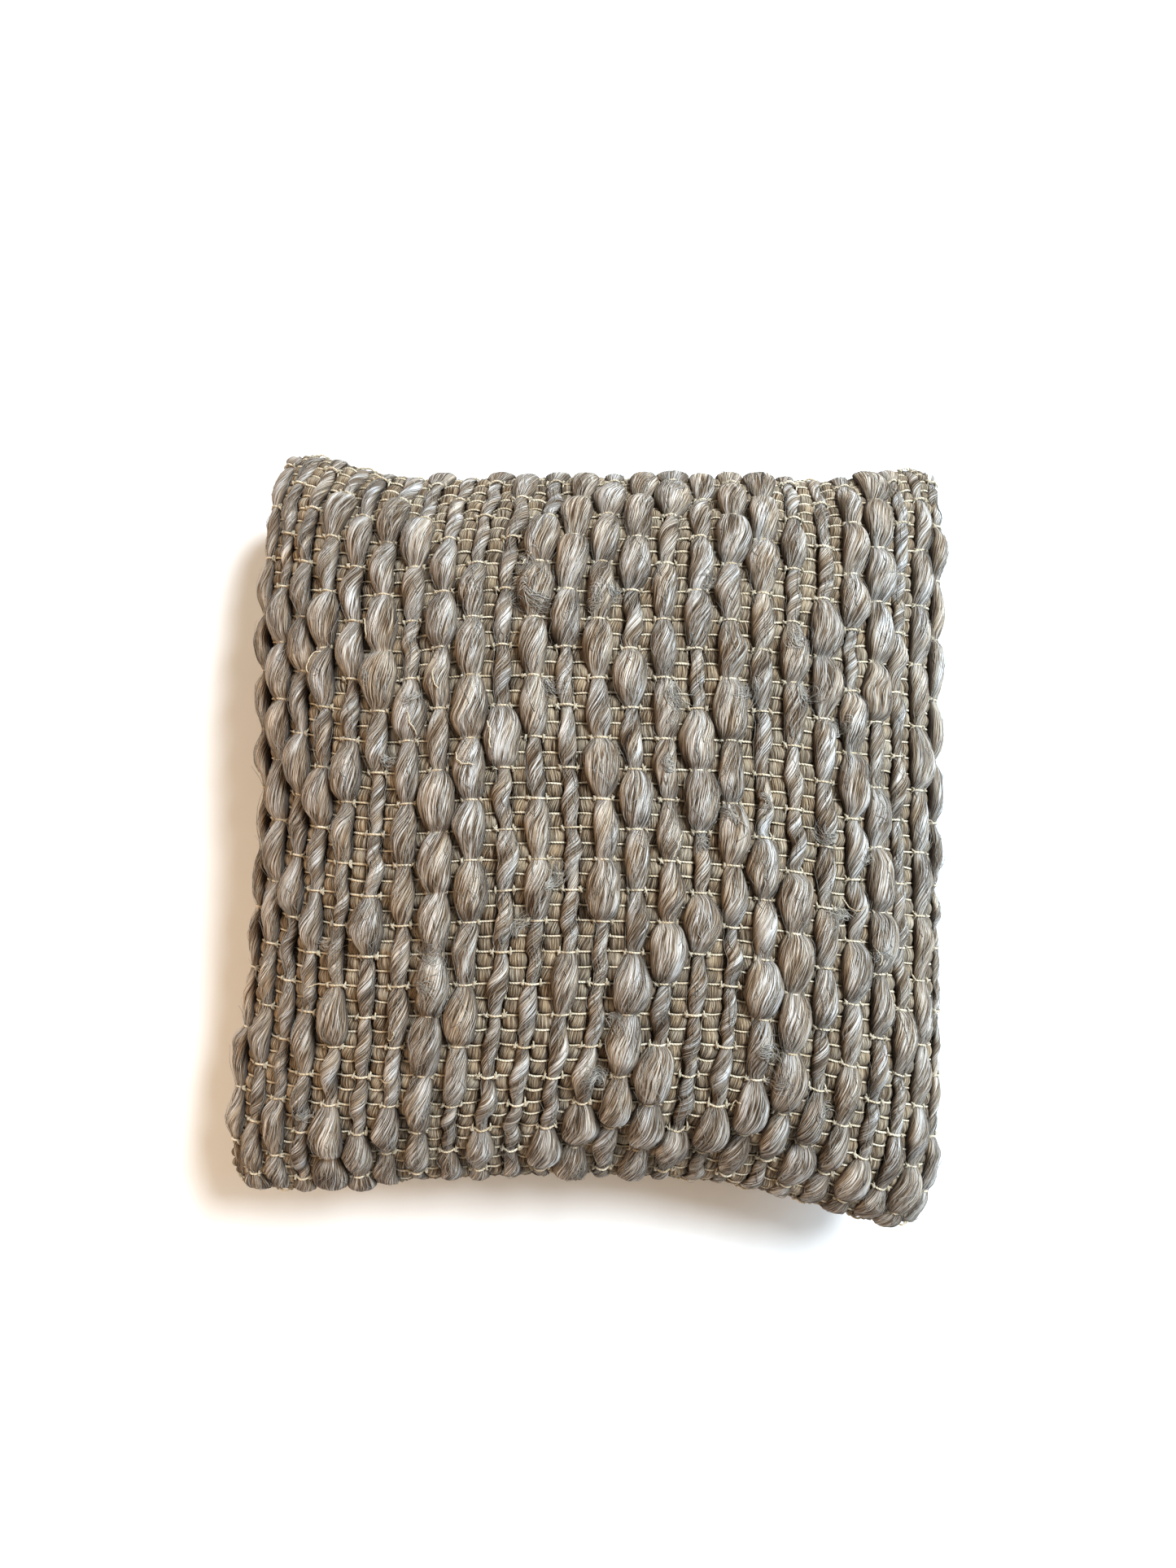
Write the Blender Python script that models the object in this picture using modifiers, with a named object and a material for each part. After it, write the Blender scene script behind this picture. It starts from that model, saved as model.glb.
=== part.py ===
"""Throw pillow: a chunky woven wool cover with a zip, around a filled insert.

Run with: blender --background --python part.py, or from Blender's text editor.

Units are metres, +Z is up. The pillow lies on its back panel, so the origin is the centre of its
footprint on the floor. +Y is the zipped edge. +X runs along the zip, which closes towards +X.

Every cloth shell follows one surface, cover_point(), which is the inner face of the cover. It is
read at cloth coordinates (s, t), each from -1 at one seam to +1 at the opposite seam.
"""

import bisect
import math

import bmesh
import bpy
import numpy as np
from mathutils import Vector

# --- Driving dimensions -------------------------------------------------------------------------
HEIGHT = 0.150  # floor to crown of the filled pillow
SEAM_HEIGHT = 0.064  # floor to the seam plane
CLOTH = 0.016  # thickness of the chunky woven panels
CLOTH_GAP = 0.0004  # clear space between cloth faces that touch

# Where the cover's inner face has its corners, seen from above, before they are rounded.
CORNER_NW = Vector((-0.204, 0.264))
CORNER_NE = Vector((0.233, 0.253))
CORNER_SW = Vector((-0.235, -0.233))
CORNER_SE = Vector((0.206, -0.268))
# Where the same face crosses the middle of each side.
WEST_X = -0.203
EAST_X = 0.211
NORTH_Y = 0.221
SOUTH_Y = -0.212
CORNER_ROUNDING = 0.062  # share by which a corner is drawn in
CORNER_ROUNDING_POWER = 6  # how close to the corner that starts
SIDE_BOW_POWER = 1.6  # west and east sides bow in as a smooth hollow
SOUTH_BOW_POWER = 2.4  # the south side stays straight for longer
NORTH_STRAIGHT = (-0.54, 0.62)  # shares of the half width between which the north side is straight
NORTH_FLARE_POWER = 1.5

CROWN_POWER = 2.3  # 2 is an ellipse; more is plumper
CORNER_SPREAD = 0.75  # how far the cloth lines even out towards the flat corners
FLOOR_ROLL = 0.006  # height over which the underside rolls into its flat patch

# Zip, a moulded-tooth one let into the north seam.
ZIP_CENTRE_X = 0.0235
ZIP_LENGTH = 0.254  # a 10 inch zip
ZIP_MOUTH = 0.0125  # distance between the two panels' edges along the zip
MOUTH_OPEN = (-0.54, 0.68)  # cloth coordinates between which the mouth is fully open
MOUTH_TAPER = 0.12  # cloth coordinate over which it closes past them
TAPE_ROWS = (0.99, 0.95)  # cloth coordinates of the tape's rows under the panel
TAPE_THICKNESS = 0.0008
TAPE_EDGE = 0.0034  # half the distance between the two tapes
TAPE_INSET = 0.0012  # from the panel's inner face to the middle of the tape
TOOTH_PITCH = 0.0034
TOOTH_LENGTH = 0.0015
TOOTH_WIDTH = 0.0019
TOOTH_THICKNESS = 0.0026
TOOTH_SPINE = 0.0009
CHAIN_CHANNEL = 0.0014  # clear channel along the middle, which the slider's divider runs in
CHAIN_SET_BACK = 0.0009  # how far inside the cover's inner face the tapes' middle lies

SLIDER_LENGTH = 0.012
SLIDER_WIDTH = 0.0094
SLIDER_PLATE = 0.0010
SLIDER_CLEARANCE = 0.0003
SLIDER_END_ROOM = 0.010  # from the zip's closed end to the slider's middle
BRIDGE_LENGTH = 0.0072
BRIDGE_WIDTH = 0.0030
BRIDGE_HEIGHT = 0.0030
BRIDGE_BAR = 0.0010
PULL_BAR = 0.0006  # half the thickness of the pull, and of its bar under the bridge
PULL_LENGTH = 0.024
PULL_WIDTH = 0.0074
PULL_ARM = 0.0010

# Insert, a plain cotton casing with loose filling.
INSERT_INSET = 0.0044
INSERT_NORTH_ROOM = 0.0020  # more room behind the zip
CASING_THICKNESS = 0.0008
FILLING_GAP = 0.0010

PATCH_INSET = 0.0006  # from the cover's inner face to what lies against it
ALLOWANCE_SPAN = (0.952, 0.99)  # cloth coordinates of a seam allowance, out towards its seam
ALLOWANCE_THICKNESS = 0.0013
LABEL_S = (-0.95, -0.90, -0.80, -0.75)
LABEL_T = (0.22, 0.30)
LABEL_THICKNESS = 0.0006

HALF_LINES = (0.20, 0.38, 0.54, 0.68, 0.80, 0.90, 0.97, 1.0)
LINES = [-line for line in reversed(HALF_LINES)] + [0.0, *HALF_LINES]  # cloth shells' grid lines

FRONT, BACK = 1, -1

ZIP_START = ZIP_CENTRE_X - ZIP_LENGTH / 2
ZIP_END = ZIP_CENTRE_X + ZIP_LENGTH / 2
CHAIN_Y = NORTH_Y - CHAIN_SET_BACK
SLIDER_X = ZIP_END - SLIDER_END_ROOM
CROWN = HEIGHT - SEAM_HEIGHT - CLOTH - CLOTH_GAP / 2  # seam plane up to the inner face
FLAT_DEPTH = SEAM_HEIGHT - CLOTH + 0.0003  # seam plane down to the inner face; cut level at 0


# --- Scene helpers ------------------------------------------------------------------------------
def clear_scene():
    for obj in list(bpy.data.objects):
        bpy.data.objects.remove(obj)


def new_collection(name):
    collection = bpy.data.collections.new(name)
    bpy.context.scene.collection.children.link(collection)
    return collection


def material(name, colour, roughness, metallic=0.0):
    mat = bpy.data.materials.new(name)
    mat.use_nodes = True
    shader = mat.node_tree.nodes["Principled BSDF"]
    shader.inputs["Base Color"].default_value = (*colour, 1.0)
    shader.inputs["Roughness"].default_value = roughness
    shader.inputs["Metallic"].default_value = metallic
    return mat


def adopt(obj, name, collection, mat):
    """Names an object, moves it to the collection and gives it its material."""
    obj.name = name
    obj.data.name = name
    for other in list(obj.users_collection):
        other.objects.unlink(obj)
    collection.objects.link(obj)
    obj.data.materials.clear()
    obj.data.materials.append(mat)
    return obj


def solidify(obj, thickness, outwards):
    modifier = obj.modifiers.new("thickness", "SOLIDIFY")
    modifier.thickness = thickness
    modifier.offset = 1.0 if outwards else -1.0


# --- The cover's inner face ---------------------------------------------------------------------
def crown_share(angle):
    """Height of the section at sin(angle) of its half width, as a share of its crown."""
    return np.sqrt(np.maximum(0.0, 1 - np.abs(np.sin(angle)) ** CROWN_POWER))


def even_angles(half_width, crown):
    """Cloth coordinate and section angle, tabled so that the cloth is evenly spaced along the curve."""
    angle = np.linspace(0, math.pi / 2, 400)
    x = half_width * np.sin(angle)
    z = crown * crown_share(angle)
    along = np.concatenate([[0], np.cumsum(np.hypot(np.diff(x), np.diff(z)))])
    return along / along[-1], angle


EVEN_X = even_angles((EAST_X - WEST_X) / 2, CROWN)
EVEN_Y = even_angles((NORTH_Y - SOUTH_Y) / 2, CROWN)


def section_angle(cloth, table):
    return math.copysign(float(np.interp(abs(cloth), *table)), cloth)


def smooth_step(x):
    x = min(max(x, 0.0), 1.0)
    return x * x * (3 - 2 * x)


def lerp(a, b, share):
    return a + (b - a) * share


def side_line(low_corner, high_corner, middle, along, hollow):
    """A side's distance out at along, from -1 to 1, where hollow is 0 at its middle and 1 at its ends."""
    return lerp(middle, lerp(low_corner, high_corner, (along + 1) / 2), hollow)


def bow(along, power):
    return abs(along) ** power


def flare(along):
    west, east = NORTH_STRAIGHT
    beyond = max((along - east) / (1 - east), (west - along) / (1 + west), 0.0)
    return beyond**NORTH_FLARE_POWER


def plan_point(a, b):
    """The point of the cover's outline plan at shares a and b, each from -1 to 1."""
    west = side_line(CORNER_SW.x, CORNER_NW.x, WEST_X, b, bow(b, SIDE_BOW_POWER))
    east = side_line(CORNER_SE.x, CORNER_NE.x, EAST_X, b, bow(b, SIDE_BOW_POWER))
    south = side_line(CORNER_SW.y, CORNER_SE.y, SOUTH_Y, a, bow(a, SOUTH_BOW_POWER))
    north = side_line(CORNER_NW.y, CORNER_NE.y, NORTH_Y, a, flare(a))
    return lerp(west, east, (a + 1) / 2), lerp(south, north, (b + 1) / 2)


def flattened(depth):
    """The underside's depth below the seam plane: it rolls into a flat patch on the floor."""
    over = depth - FLAT_DEPTH
    if over >= FLOOR_ROLL:
        return FLAT_DEPTH
    if over <= -FLOOR_ROLL:
        return depth
    return depth - (over + FLOOR_ROLL) ** 2 / (4 * FLOOR_ROLL)


def mouth_half(s, t):
    """Half the distance between the two panels' edges: the zip's mouth, or a closed seam."""
    along_seam = 1 + min(s - MOUTH_OPEN[0], MOUTH_OPEN[1] - s) / MOUTH_TAPER
    opening = smooth_step(along_seam) * smooth_step((t - 0.55) / 0.35)
    return lerp(CLOTH_GAP / 2, ZIP_MOUTH / 2, opening)


def plan_and_depth(s, t):
    """Where the cover's inner face is, seen from above, and how far from the seam plane."""
    angle_s, angle_t = section_angle(s, EVEN_X), section_angle(t, EVEN_Y)
    high_s, high_t = crown_share(angle_s), crown_share(angle_t)
    rounding = 1 - CORNER_ROUNDING * abs(s * t) ** CORNER_ROUNDING_POWER
    a = lerp(math.sin(angle_s), s, CORNER_SPREAD * (1 - high_t)) * rounding
    b = lerp(math.sin(angle_t), t, CORNER_SPREAD * (1 - high_s)) * rounding
    x, y = plan_point(a, b)
    return x, y, CROWN * high_s * high_t


def surface_point(s, t, side):
    """The cover's inner face at cloth coordinates (s, t)."""
    x, y, depth = plan_and_depth(s, t)
    if side == BACK:
        depth = flattened(depth)
    return Vector((x, y, SEAM_HEIGHT + side * (depth + mouth_half(s, t))))


def surface_normal(s, t, side):
    """Outward normal of the cover's inner face."""
    step = 0.004
    low_s, high_s = max(s - step, -1), min(s + step, 1)
    low_t, high_t = max(t - step, -1), min(t + step, 1)
    along_s = surface_point(high_s, t, side) - surface_point(low_s, t, side)
    along_t = surface_point(s, high_t, side) - surface_point(s, low_t, side)
    return (along_s.cross(along_t) * side).normalized()


def cover_point(s, t, side, inset=0.0):
    """A point inset from the cover's inner face, towards the filling."""
    point = surface_point(s, t, side)
    return point - surface_normal(s, t, side) * inset if inset else point


# --- Cloth shells -------------------------------------------------------------------------------
def cloth_grid(name, s_stops, t_stops, place, side, collection, mat):
    """A grid with a row of vertices at each stop, put where place(s, t) says, facing outwards."""
    cells_s, cells_t = len(s_stops) - 1, len(t_stops) - 1
    bpy.ops.mesh.primitive_grid_add(x_subdivisions=cells_s, y_subdivisions=cells_t, size=2)
    obj = adopt(bpy.context.object, name, collection, mat)
    even_s = np.linspace(-1, 1, len(s_stops))
    even_t = np.linspace(-1, 1, len(t_stops))
    for vertex in obj.data.vertices:
        s = float(np.interp(vertex.co.x, even_s, s_stops))
        t = float(np.interp(vertex.co.y, even_t, t_stops))
        vertex.co = place(s, t, side)
    if side == BACK:
        obj.data.flip_normals()
    obj.data.shade_smooth()
    return obj


def cover_panel(name, side, collection, mat):
    """A woven panel. The back one's underside is cut level, as the pillow's weight presses it."""
    obj = cloth_grid(name, LINES, LINES, surface_point, side, collection, mat)
    solidify(obj, CLOTH, outwards=True)
    if side == BACK:
        cut = obj.modifiers.new("level underside", "BOOLEAN")
        cut.operation = "DIFFERENCE"
        cut.solver = "EXACT"
        cut.object = floor_cutter()


def floor_cutter():
    bpy.ops.mesh.primitive_cube_add(size=1, location=(0, 0, -0.025))
    cutter = bpy.context.object
    cutter.name = "floor_cutter"
    cutter.scale = (1, 1, 0.05)
    cutter.hide_render = True
    cutter.display_type = "WIRE"
    for other in list(cutter.users_collection):
        other.objects.unlink(cutter)
    HELPERS.objects.link(cutter)
    return cutter


def insert_point(s, t, side, inset):
    """The insert's surface: the cover's inner face drawn in, with its seam closed behind the zip."""
    x, y, depth = plan_and_depth(s, t)
    if side == BACK:
        depth = flattened(depth)
    half_x, middle_x = (EAST_X - WEST_X) / 2, (EAST_X + WEST_X) / 2
    half_y, middle_y = (NORTH_Y - SOUTH_Y) / 2, (NORTH_Y + SOUTH_Y) / 2
    inset_y = inset + INSERT_NORTH_ROOM if y > middle_y else inset
    x = middle_x + (x - middle_x) * (1 - inset / half_x)
    y = middle_y + (y - middle_y) * (1 - inset_y / half_y)
    return Vector((x, y, SEAM_HEIGHT + side * (depth * (1 - inset / CROWN) + CLOTH_GAP / 2)))


def insert_grid(name, side, inset, collection, mat):
    def place(s, t, side):
        return insert_point(s, t, side, inset)

    return cloth_grid(name, LINES, LINES, place, side, collection, mat)


def casing_panel(name, side, collection, mat):
    obj = insert_grid(name, side, INSERT_INSET + CASING_THICKNESS, collection, mat)
    solidify(obj, CASING_THICKNESS, outwards=True)


def filling(collection, mat):
    """The loose filling: two grids inside the casing, joined round their edge."""
    inset = INSERT_INSET + CASING_THICKNESS + FILLING_GAP
    front, back = [insert_grid("insert_filling", side, inset, collection, mat) for side in (FRONT, BACK)]
    mesh = bmesh.new()
    mesh.from_mesh(front.data)
    mesh.from_mesh(back.data)
    rim = [edge for edge in mesh.edges if edge.is_boundary]
    bmesh.ops.bridge_loops(mesh, edges=rim)
    bmesh.ops.recalc_face_normals(mesh, faces=mesh.faces)
    mesh.to_mesh(front.data)
    mesh.free()
    bpy.data.objects.remove(back)
    front.name = "insert_filling"


# --- Seam allowances and label inside the cover -------------------------------------------------
def facet_point(s, t, side, inset):
    """A point on the flat facets of a cloth shell, so that a patch nests against them."""
    column = min(bisect.bisect_right(LINES, s), len(LINES) - 1)
    row = min(bisect.bisect_right(LINES, t), len(LINES) - 1)
    s_low, s_high = LINES[column - 1], LINES[column]
    t_low, t_high = LINES[row - 1], LINES[row]
    share_s = (s - s_low) / (s_high - s_low)
    share_t = (t - t_low) / (t_high - t_low)
    low = lerp(cover_point(s_low, t_low, side, inset), cover_point(s_high, t_low, side, inset), share_s)
    high = lerp(cover_point(s_low, t_high, side, inset), cover_point(s_high, t_high, side, inset), share_s)
    return lerp(low, high, share_t)


def patch(name, s_stops, t_stops, side, inset, thickness, collection, mat):
    """A piece of cloth lying against the inside of a panel."""

    def place(s, t, side):
        return facet_point(s, t, side, inset)

    obj = cloth_grid(name, s_stops, t_stops, place, side, collection, mat)
    solidify(obj, thickness, outwards=False)


def seam_allowances(collection, mat):
    """The panels' overlocked edges, pressed against the back panel, with the corners trimmed off."""
    along = LINES[3:-3]
    near, far = ALLOWANCE_SPAN
    strips = {
        "seam_allowance_west": ((-far, -near), along),
        "seam_allowance_east": ((near, far), along),
        "seam_allowance_south": (along, (-far, -near)),
    }
    for name, (s_stops, t_stops) in strips.items():
        patch(name, s_stops, t_stops, BACK, PATCH_INSET, ALLOWANCE_THICKNESS, collection, mat)


def care_label(collection, mat):
    """A blank satin label, caught in the west seam's allowance."""
    patch("care_label", LABEL_S, LABEL_T, BACK, PATCH_INSET, LABEL_THICKNESS, collection, mat)


# --- Zip ----------------------------------------------------------------------------------------
def zip_tape(name, side, collection, mat):
    """A woven tape along the zip, from beside its teeth to under the panel's edge."""
    line_x = [surface_point(line, 1.0, side).x for line in LINES]
    start, end = np.interp((ZIP_START, ZIP_END), line_x, LINES)
    s_stops = [start, *[line for line in LINES if start < line < end], end]
    beside_teeth = {1.02: TAPE_EDGE, 1.01: ZIP_MOUTH / 2 - TAPE_INSET / 2}

    def place(s, t, side):
        if t <= 1:
            return facet_point(s, t, side, TAPE_INSET)
        x = float(np.interp(s, LINES, line_x))
        return Vector((x, CHAIN_Y, SEAM_HEIGHT + side * beside_teeth[round(t, 2)]))

    t_stops = [*reversed(TAPE_ROWS), *reversed(beside_teeth)]
    obj = cloth_grid(name, s_stops, t_stops, place, side, collection, mat)
    thicken = obj.modifiers.new("thickness", "SOLIDIFY")
    thicken.thickness = TAPE_THICKNESS
    thicken.offset = 0.0


def comb_outline(side):
    """Outline of one row of teeth in the zip's plane: x along the zip, z from the middle."""
    tip = CHAIN_CHANNEL / 2
    root = tip + TOOTH_LENGTH
    spine = root + TOOTH_SPINE
    count = int(ZIP_LENGTH / TOOTH_PITCH)
    points = []
    for i in range(count):
        middle = ZIP_START + (i + 0.5) * TOOTH_PITCH
        near, far = middle - TOOTH_WIDTH / 2, middle + TOOTH_WIDTH / 2
        points += [(near, root), (near, tip), (far, tip), (far, root)]
    points += [(points[-1][0], spine), (points[0][0], spine)]
    return [(x, side * z) for x, z in points][::side]


def extruded(name, outlines, thickness, collection, mat):
    """Flat outlines in the XZ plane, the second one a hole in the first, extruded along Y."""
    curve = bpy.data.curves.new(name, "CURVE")
    curve.dimensions = "2D"
    curve.fill_mode = "BOTH"
    curve.extrude = thickness / 2
    for outline in outlines:
        spline = curve.splines.new("POLY")
        spline.points.add(len(outline) - 1)
        for point, (x, z) in zip(spline.points, outline):
            point.co = (x, z, 0, 1)
        spline.use_cyclic_u = True
    obj = bpy.data.objects.new(name, curve)
    obj.rotation_euler = (math.pi / 2, 0, 0)
    collection.objects.link(obj)
    curve.materials.append(mat)
    return obj


def zip_teeth(name, side, collection, mat):
    obj = extruded(name, [comb_outline(side)], TOOTH_THICKNESS, collection, mat)
    obj.location = (0, CHAIN_Y, SEAM_HEIGHT)


def box_mesh(mesh, low, high):
    """Adds a box between two corners to a bmesh."""
    middle = (Vector(low) + Vector(high)) / 2
    size = Vector(high) - Vector(low)
    made = bmesh.ops.create_cube(mesh, size=1)["verts"]
    bmesh.ops.scale(mesh, vec=size, verts=made)
    bmesh.ops.translate(mesh, vec=middle, verts=made)


def joined_boxes(name, boxes, collection, mat, origin, bevel=0.0):
    """One solid from overlapping boxes, united one after another, placed about origin."""
    first = None
    for low, high in boxes:
        mesh = bmesh.new()
        box_mesh(mesh, low, high)
        data = bpy.data.meshes.new(name)
        mesh.to_mesh(data)
        mesh.free()
        piece = bpy.data.objects.new(name, data)
        piece.location = origin
        if first is None:
            first = piece
            collection.objects.link(piece)
            data.materials.append(mat)
            continue
        HELPERS.objects.link(piece)
        piece.hide_render = True
        piece.display_type = "WIRE"
        union = first.modifiers.new("join", "BOOLEAN")
        union.operation = "UNION"
        union.solver = "EXACT"
        union.object = piece
    first.name = name
    if bevel:
        rounding = first.modifiers.new("rounded edges", "BEVEL")
        rounding.width = bevel
        rounding.segments = 1
        rounding.limit_method = "ANGLE"
    return first


def end_stop(name, x, side, collection, mat):
    """A metal stop crimped over one tape's edge, past the last tooth."""
    length, thickness = 0.0022, TOOTH_THICKNESS + 0.0004
    near, far = CHAIN_CHANNEL / 2, CHAIN_CHANNEL / 2 + TOOTH_LENGTH + TOOTH_SPINE
    low = (-length / 2, -thickness / 2, min(side * near, side * far))
    high = (length / 2, thickness / 2, max(side * near, side * far))
    joined_boxes(name, [(low, high)], collection, mat, (x, CHAIN_Y, SEAM_HEIGHT), 0.0002)


def bottom_stop(collection, mat):
    """The wide stop that holds both tapes at the zip's open end."""
    length, thickness = 0.0030, TOOTH_THICKNESS + 0.0004
    half = CHAIN_CHANNEL / 2 + TOOTH_LENGTH + TOOTH_SPINE
    box = ((-length / 2, -thickness / 2, -half), (length / 2, thickness / 2, half))
    x = ZIP_START - length / 2 + 0.0003
    joined_boxes("zip_bottom_stop", [box], collection, mat, (x, CHAIN_Y, SEAM_HEIGHT), 0.0002)


def slider_boxes():
    """The slider's plates, lips, divider and bridge, about the middle of the chain."""
    half_length, half_width = SLIDER_LENGTH / 2, SLIDER_WIDTH / 2
    face = TOOTH_THICKNESS / 2 + SLIDER_CLEARANCE
    back = face + SLIDER_PLATE
    lip_inner = CHAIN_CHANNEL / 2 + TOOTH_LENGTH + TOOTH_SPINE + SLIDER_CLEARANCE
    lip_tip = TAPE_THICKNESS / 2 + SLIDER_CLEARANCE
    divider = CHAIN_CHANNEL / 2 - SLIDER_CLEARANCE
    bridge_half, bar_half = BRIDGE_LENGTH / 2, BRIDGE_WIDTH / 2
    bridge_top = back + BRIDGE_HEIGHT
    overlap = 0.0002
    boxes = [
        ((-half_length, face, -half_width), (half_length, back, half_width)),
        ((-half_length, -back, -half_width), (half_length, -face, half_width)),
        ((half_length - 0.004, -face - overlap, -divider), (half_length, face + overlap, divider)),
    ]
    for y_side in (1, -1):
        for z_side in (1, -1):
            ys = sorted((y_side * lip_tip, y_side * (face + overlap)))
            zs = sorted((z_side * lip_inner, z_side * half_width))
            boxes.append(((-half_length, ys[0], zs[0]), (half_length, ys[1], zs[1])))
    for end in (1, -1):
        xs = sorted((end * (bridge_half - BRIDGE_BAR), end * bridge_half))
        boxes.append(((xs[0], back - overlap, -bar_half), (xs[1], bridge_top, bar_half)))
    boxes.append(
        ((-bridge_half, bridge_top - BRIDGE_BAR, -bar_half), (bridge_half, bridge_top, bar_half))
    )
    return boxes


def pull_axis():
    """Where the pull's bar turns, under the bridge."""
    under_bridge = (BRIDGE_HEIGHT - BRIDGE_BAR) / 2
    y = CHAIN_Y + TOOTH_THICKNESS / 2 + SLIDER_CLEARANCE + SLIDER_PLATE + under_bridge
    return Vector((SLIDER_X, y, SEAM_HEIGHT))


def rectangle(low_x, high_x, half_z):
    return [(low_x, -half_z), (high_x, -half_z), (high_x, half_z), (low_x, half_z)]


def pull_tab(collection, mat, joint):
    """The pull, lying along the zip: a plate with a window, whose end bar goes under the bridge."""
    window_end = -BRIDGE_LENGTH / 2 - 0.0012
    plate = rectangle(-PULL_LENGTH, PULL_BAR, PULL_WIDTH / 2)
    window = rectangle(window_end, -PULL_BAR, PULL_WIDTH / 2 - PULL_ARM)
    tab = extruded("zip_pull_tab", [plate, window], 2 * PULL_BAR, collection, mat)
    hang(tab, joint)


def zip_slider(collection, mat, joint):
    place = (SLIDER_X, CHAIN_Y, SEAM_HEIGHT)
    slider = joined_boxes("zip_slider", slider_boxes(), collection, mat, place, 0.00015)
    hang(slider, joint)


def hang(piece, joint):
    """Parents a piece to the joint empty that stands at the piece's own origin."""
    piece.parent = joint
    piece.location = (0, 0, 0)


def joint_empty(name, place, collection, parent=None):
    """An empty on a joint's axis, which the moving pieces hang from."""
    empty = bpy.data.objects.new(name, None)
    empty.location = place
    collection.objects.link(empty)
    if parent is not None:
        bpy.context.view_layer.update()
        empty.parent = parent
        empty.matrix_parent_inverse = parent.matrix_world.inverted()
    bpy.context.view_layer.update()
    return empty


# --- Assembly -----------------------------------------------------------------------------------
clear_scene()
PILLOW = new_collection("throw_pillow")
HELPERS = new_collection("helpers")

WOOL = material("wool_weave", (0.27, 0.22, 0.17), 0.95)
COTTON = material("cotton_casing", (0.80, 0.78, 0.72), 0.90)
FIBRE = material("polyester_filling", (0.88, 0.88, 0.86), 1.0)
TAPE = material("zip_tape", (0.52, 0.44, 0.34), 0.85)
TEETH = material("zip_teeth", (0.48, 0.40, 0.31), 0.40)
METAL = material("antique_brass", (0.42, 0.34, 0.22), 0.35, 1.0)
THREAD = material("overlock_thread", (0.74, 0.67, 0.53), 0.90)
SATIN = material("label_satin", (0.86, 0.85, 0.82), 0.55)

cover_panel("front_panel", FRONT, PILLOW, WOOL)
cover_panel("back_panel", BACK, PILLOW, WOOL)
seam_allowances(PILLOW, THREAD)
care_label(PILLOW, SATIN)

casing_panel("insert_casing_front", FRONT, PILLOW, COTTON)
casing_panel("insert_casing_back", BACK, PILLOW, COTTON)
filling(PILLOW, FIBRE)

zip_tape("zip_tape_front", FRONT, PILLOW, TAPE)
zip_tape("zip_tape_back", BACK, PILLOW, TAPE)
zip_teeth("zip_teeth_front", FRONT, PILLOW, TEETH)
zip_teeth("zip_teeth_back", BACK, PILLOW, TEETH)
end_stop("zip_top_stop_front", ZIP_END + 0.0012, FRONT, PILLOW, METAL)
end_stop("zip_top_stop_back", ZIP_END + 0.0012, BACK, PILLOW, METAL)
bottom_stop(PILLOW, METAL)

slide_joint = joint_empty("zip_slide_joint", (SLIDER_X, CHAIN_Y, SEAM_HEIGHT), PILLOW)
swing_joint = joint_empty("pull_swing_joint", pull_axis(), PILLOW, slide_joint)
zip_slider(PILLOW, METAL, slide_joint)
pull_tab(PILLOW, METAL, swing_joint)
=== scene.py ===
"""Throw pillow: a chunky slub-weave wool cover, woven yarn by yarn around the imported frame."""

import math

import bpy
import numpy as np
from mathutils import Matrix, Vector


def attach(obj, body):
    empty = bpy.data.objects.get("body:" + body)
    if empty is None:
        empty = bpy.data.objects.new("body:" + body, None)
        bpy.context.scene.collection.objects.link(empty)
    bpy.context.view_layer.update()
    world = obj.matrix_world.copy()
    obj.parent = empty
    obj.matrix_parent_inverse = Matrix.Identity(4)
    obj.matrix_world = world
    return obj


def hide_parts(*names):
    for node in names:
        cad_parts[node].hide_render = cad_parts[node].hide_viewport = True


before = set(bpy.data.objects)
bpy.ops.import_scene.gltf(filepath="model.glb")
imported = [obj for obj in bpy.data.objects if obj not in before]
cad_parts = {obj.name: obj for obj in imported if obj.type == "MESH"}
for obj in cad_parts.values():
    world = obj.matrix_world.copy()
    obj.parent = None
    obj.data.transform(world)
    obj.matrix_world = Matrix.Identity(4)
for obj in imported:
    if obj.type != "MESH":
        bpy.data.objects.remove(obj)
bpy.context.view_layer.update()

FRONT, BACK = 1, -1
SIDE_NAMES = {FRONT: "front", BACK: "back"}

# --- The cover's inner face, as the CAD has it ---------------------------------------------------
HEIGHT = 0.150
SEAM_HEIGHT = 0.064
CLOTH = 0.016
CORNER_NW = (-0.204, 0.264)
CORNER_NE = (0.233, 0.253)
CORNER_SW = (-0.235, -0.233)
CORNER_SE = (0.206, -0.268)
WEST_X = -0.203
EAST_X = 0.211
NORTH_Y = 0.221
SOUTH_Y = -0.212
CORNER_ROUNDING = 0.062
CORNER_ROUNDING_POWER = 6
SIDE_BOW_POWER = 1.6
SOUTH_BOW_POWER = 2.4
NORTH_STRAIGHT = (-0.54, 0.62)
NORTH_FLARE_POWER = 1.5
CROWN_POWER = 2.3
CORNER_SPREAD = 0.75
FLOOR_ROLL = 0.006
ZIP_MOUTH = 0.0125
MOUTH_OPEN = (-0.60, 0.68)  # a little further west than the CAD's, to clear the pull
MOUTH_TAPER = 0.12
SEAM_GAP = 0.0004
CROWN = HEIGHT - SEAM_HEIGHT - CLOTH
FLAT_DEPTH = SEAM_HEIGHT - CLOTH

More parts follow.
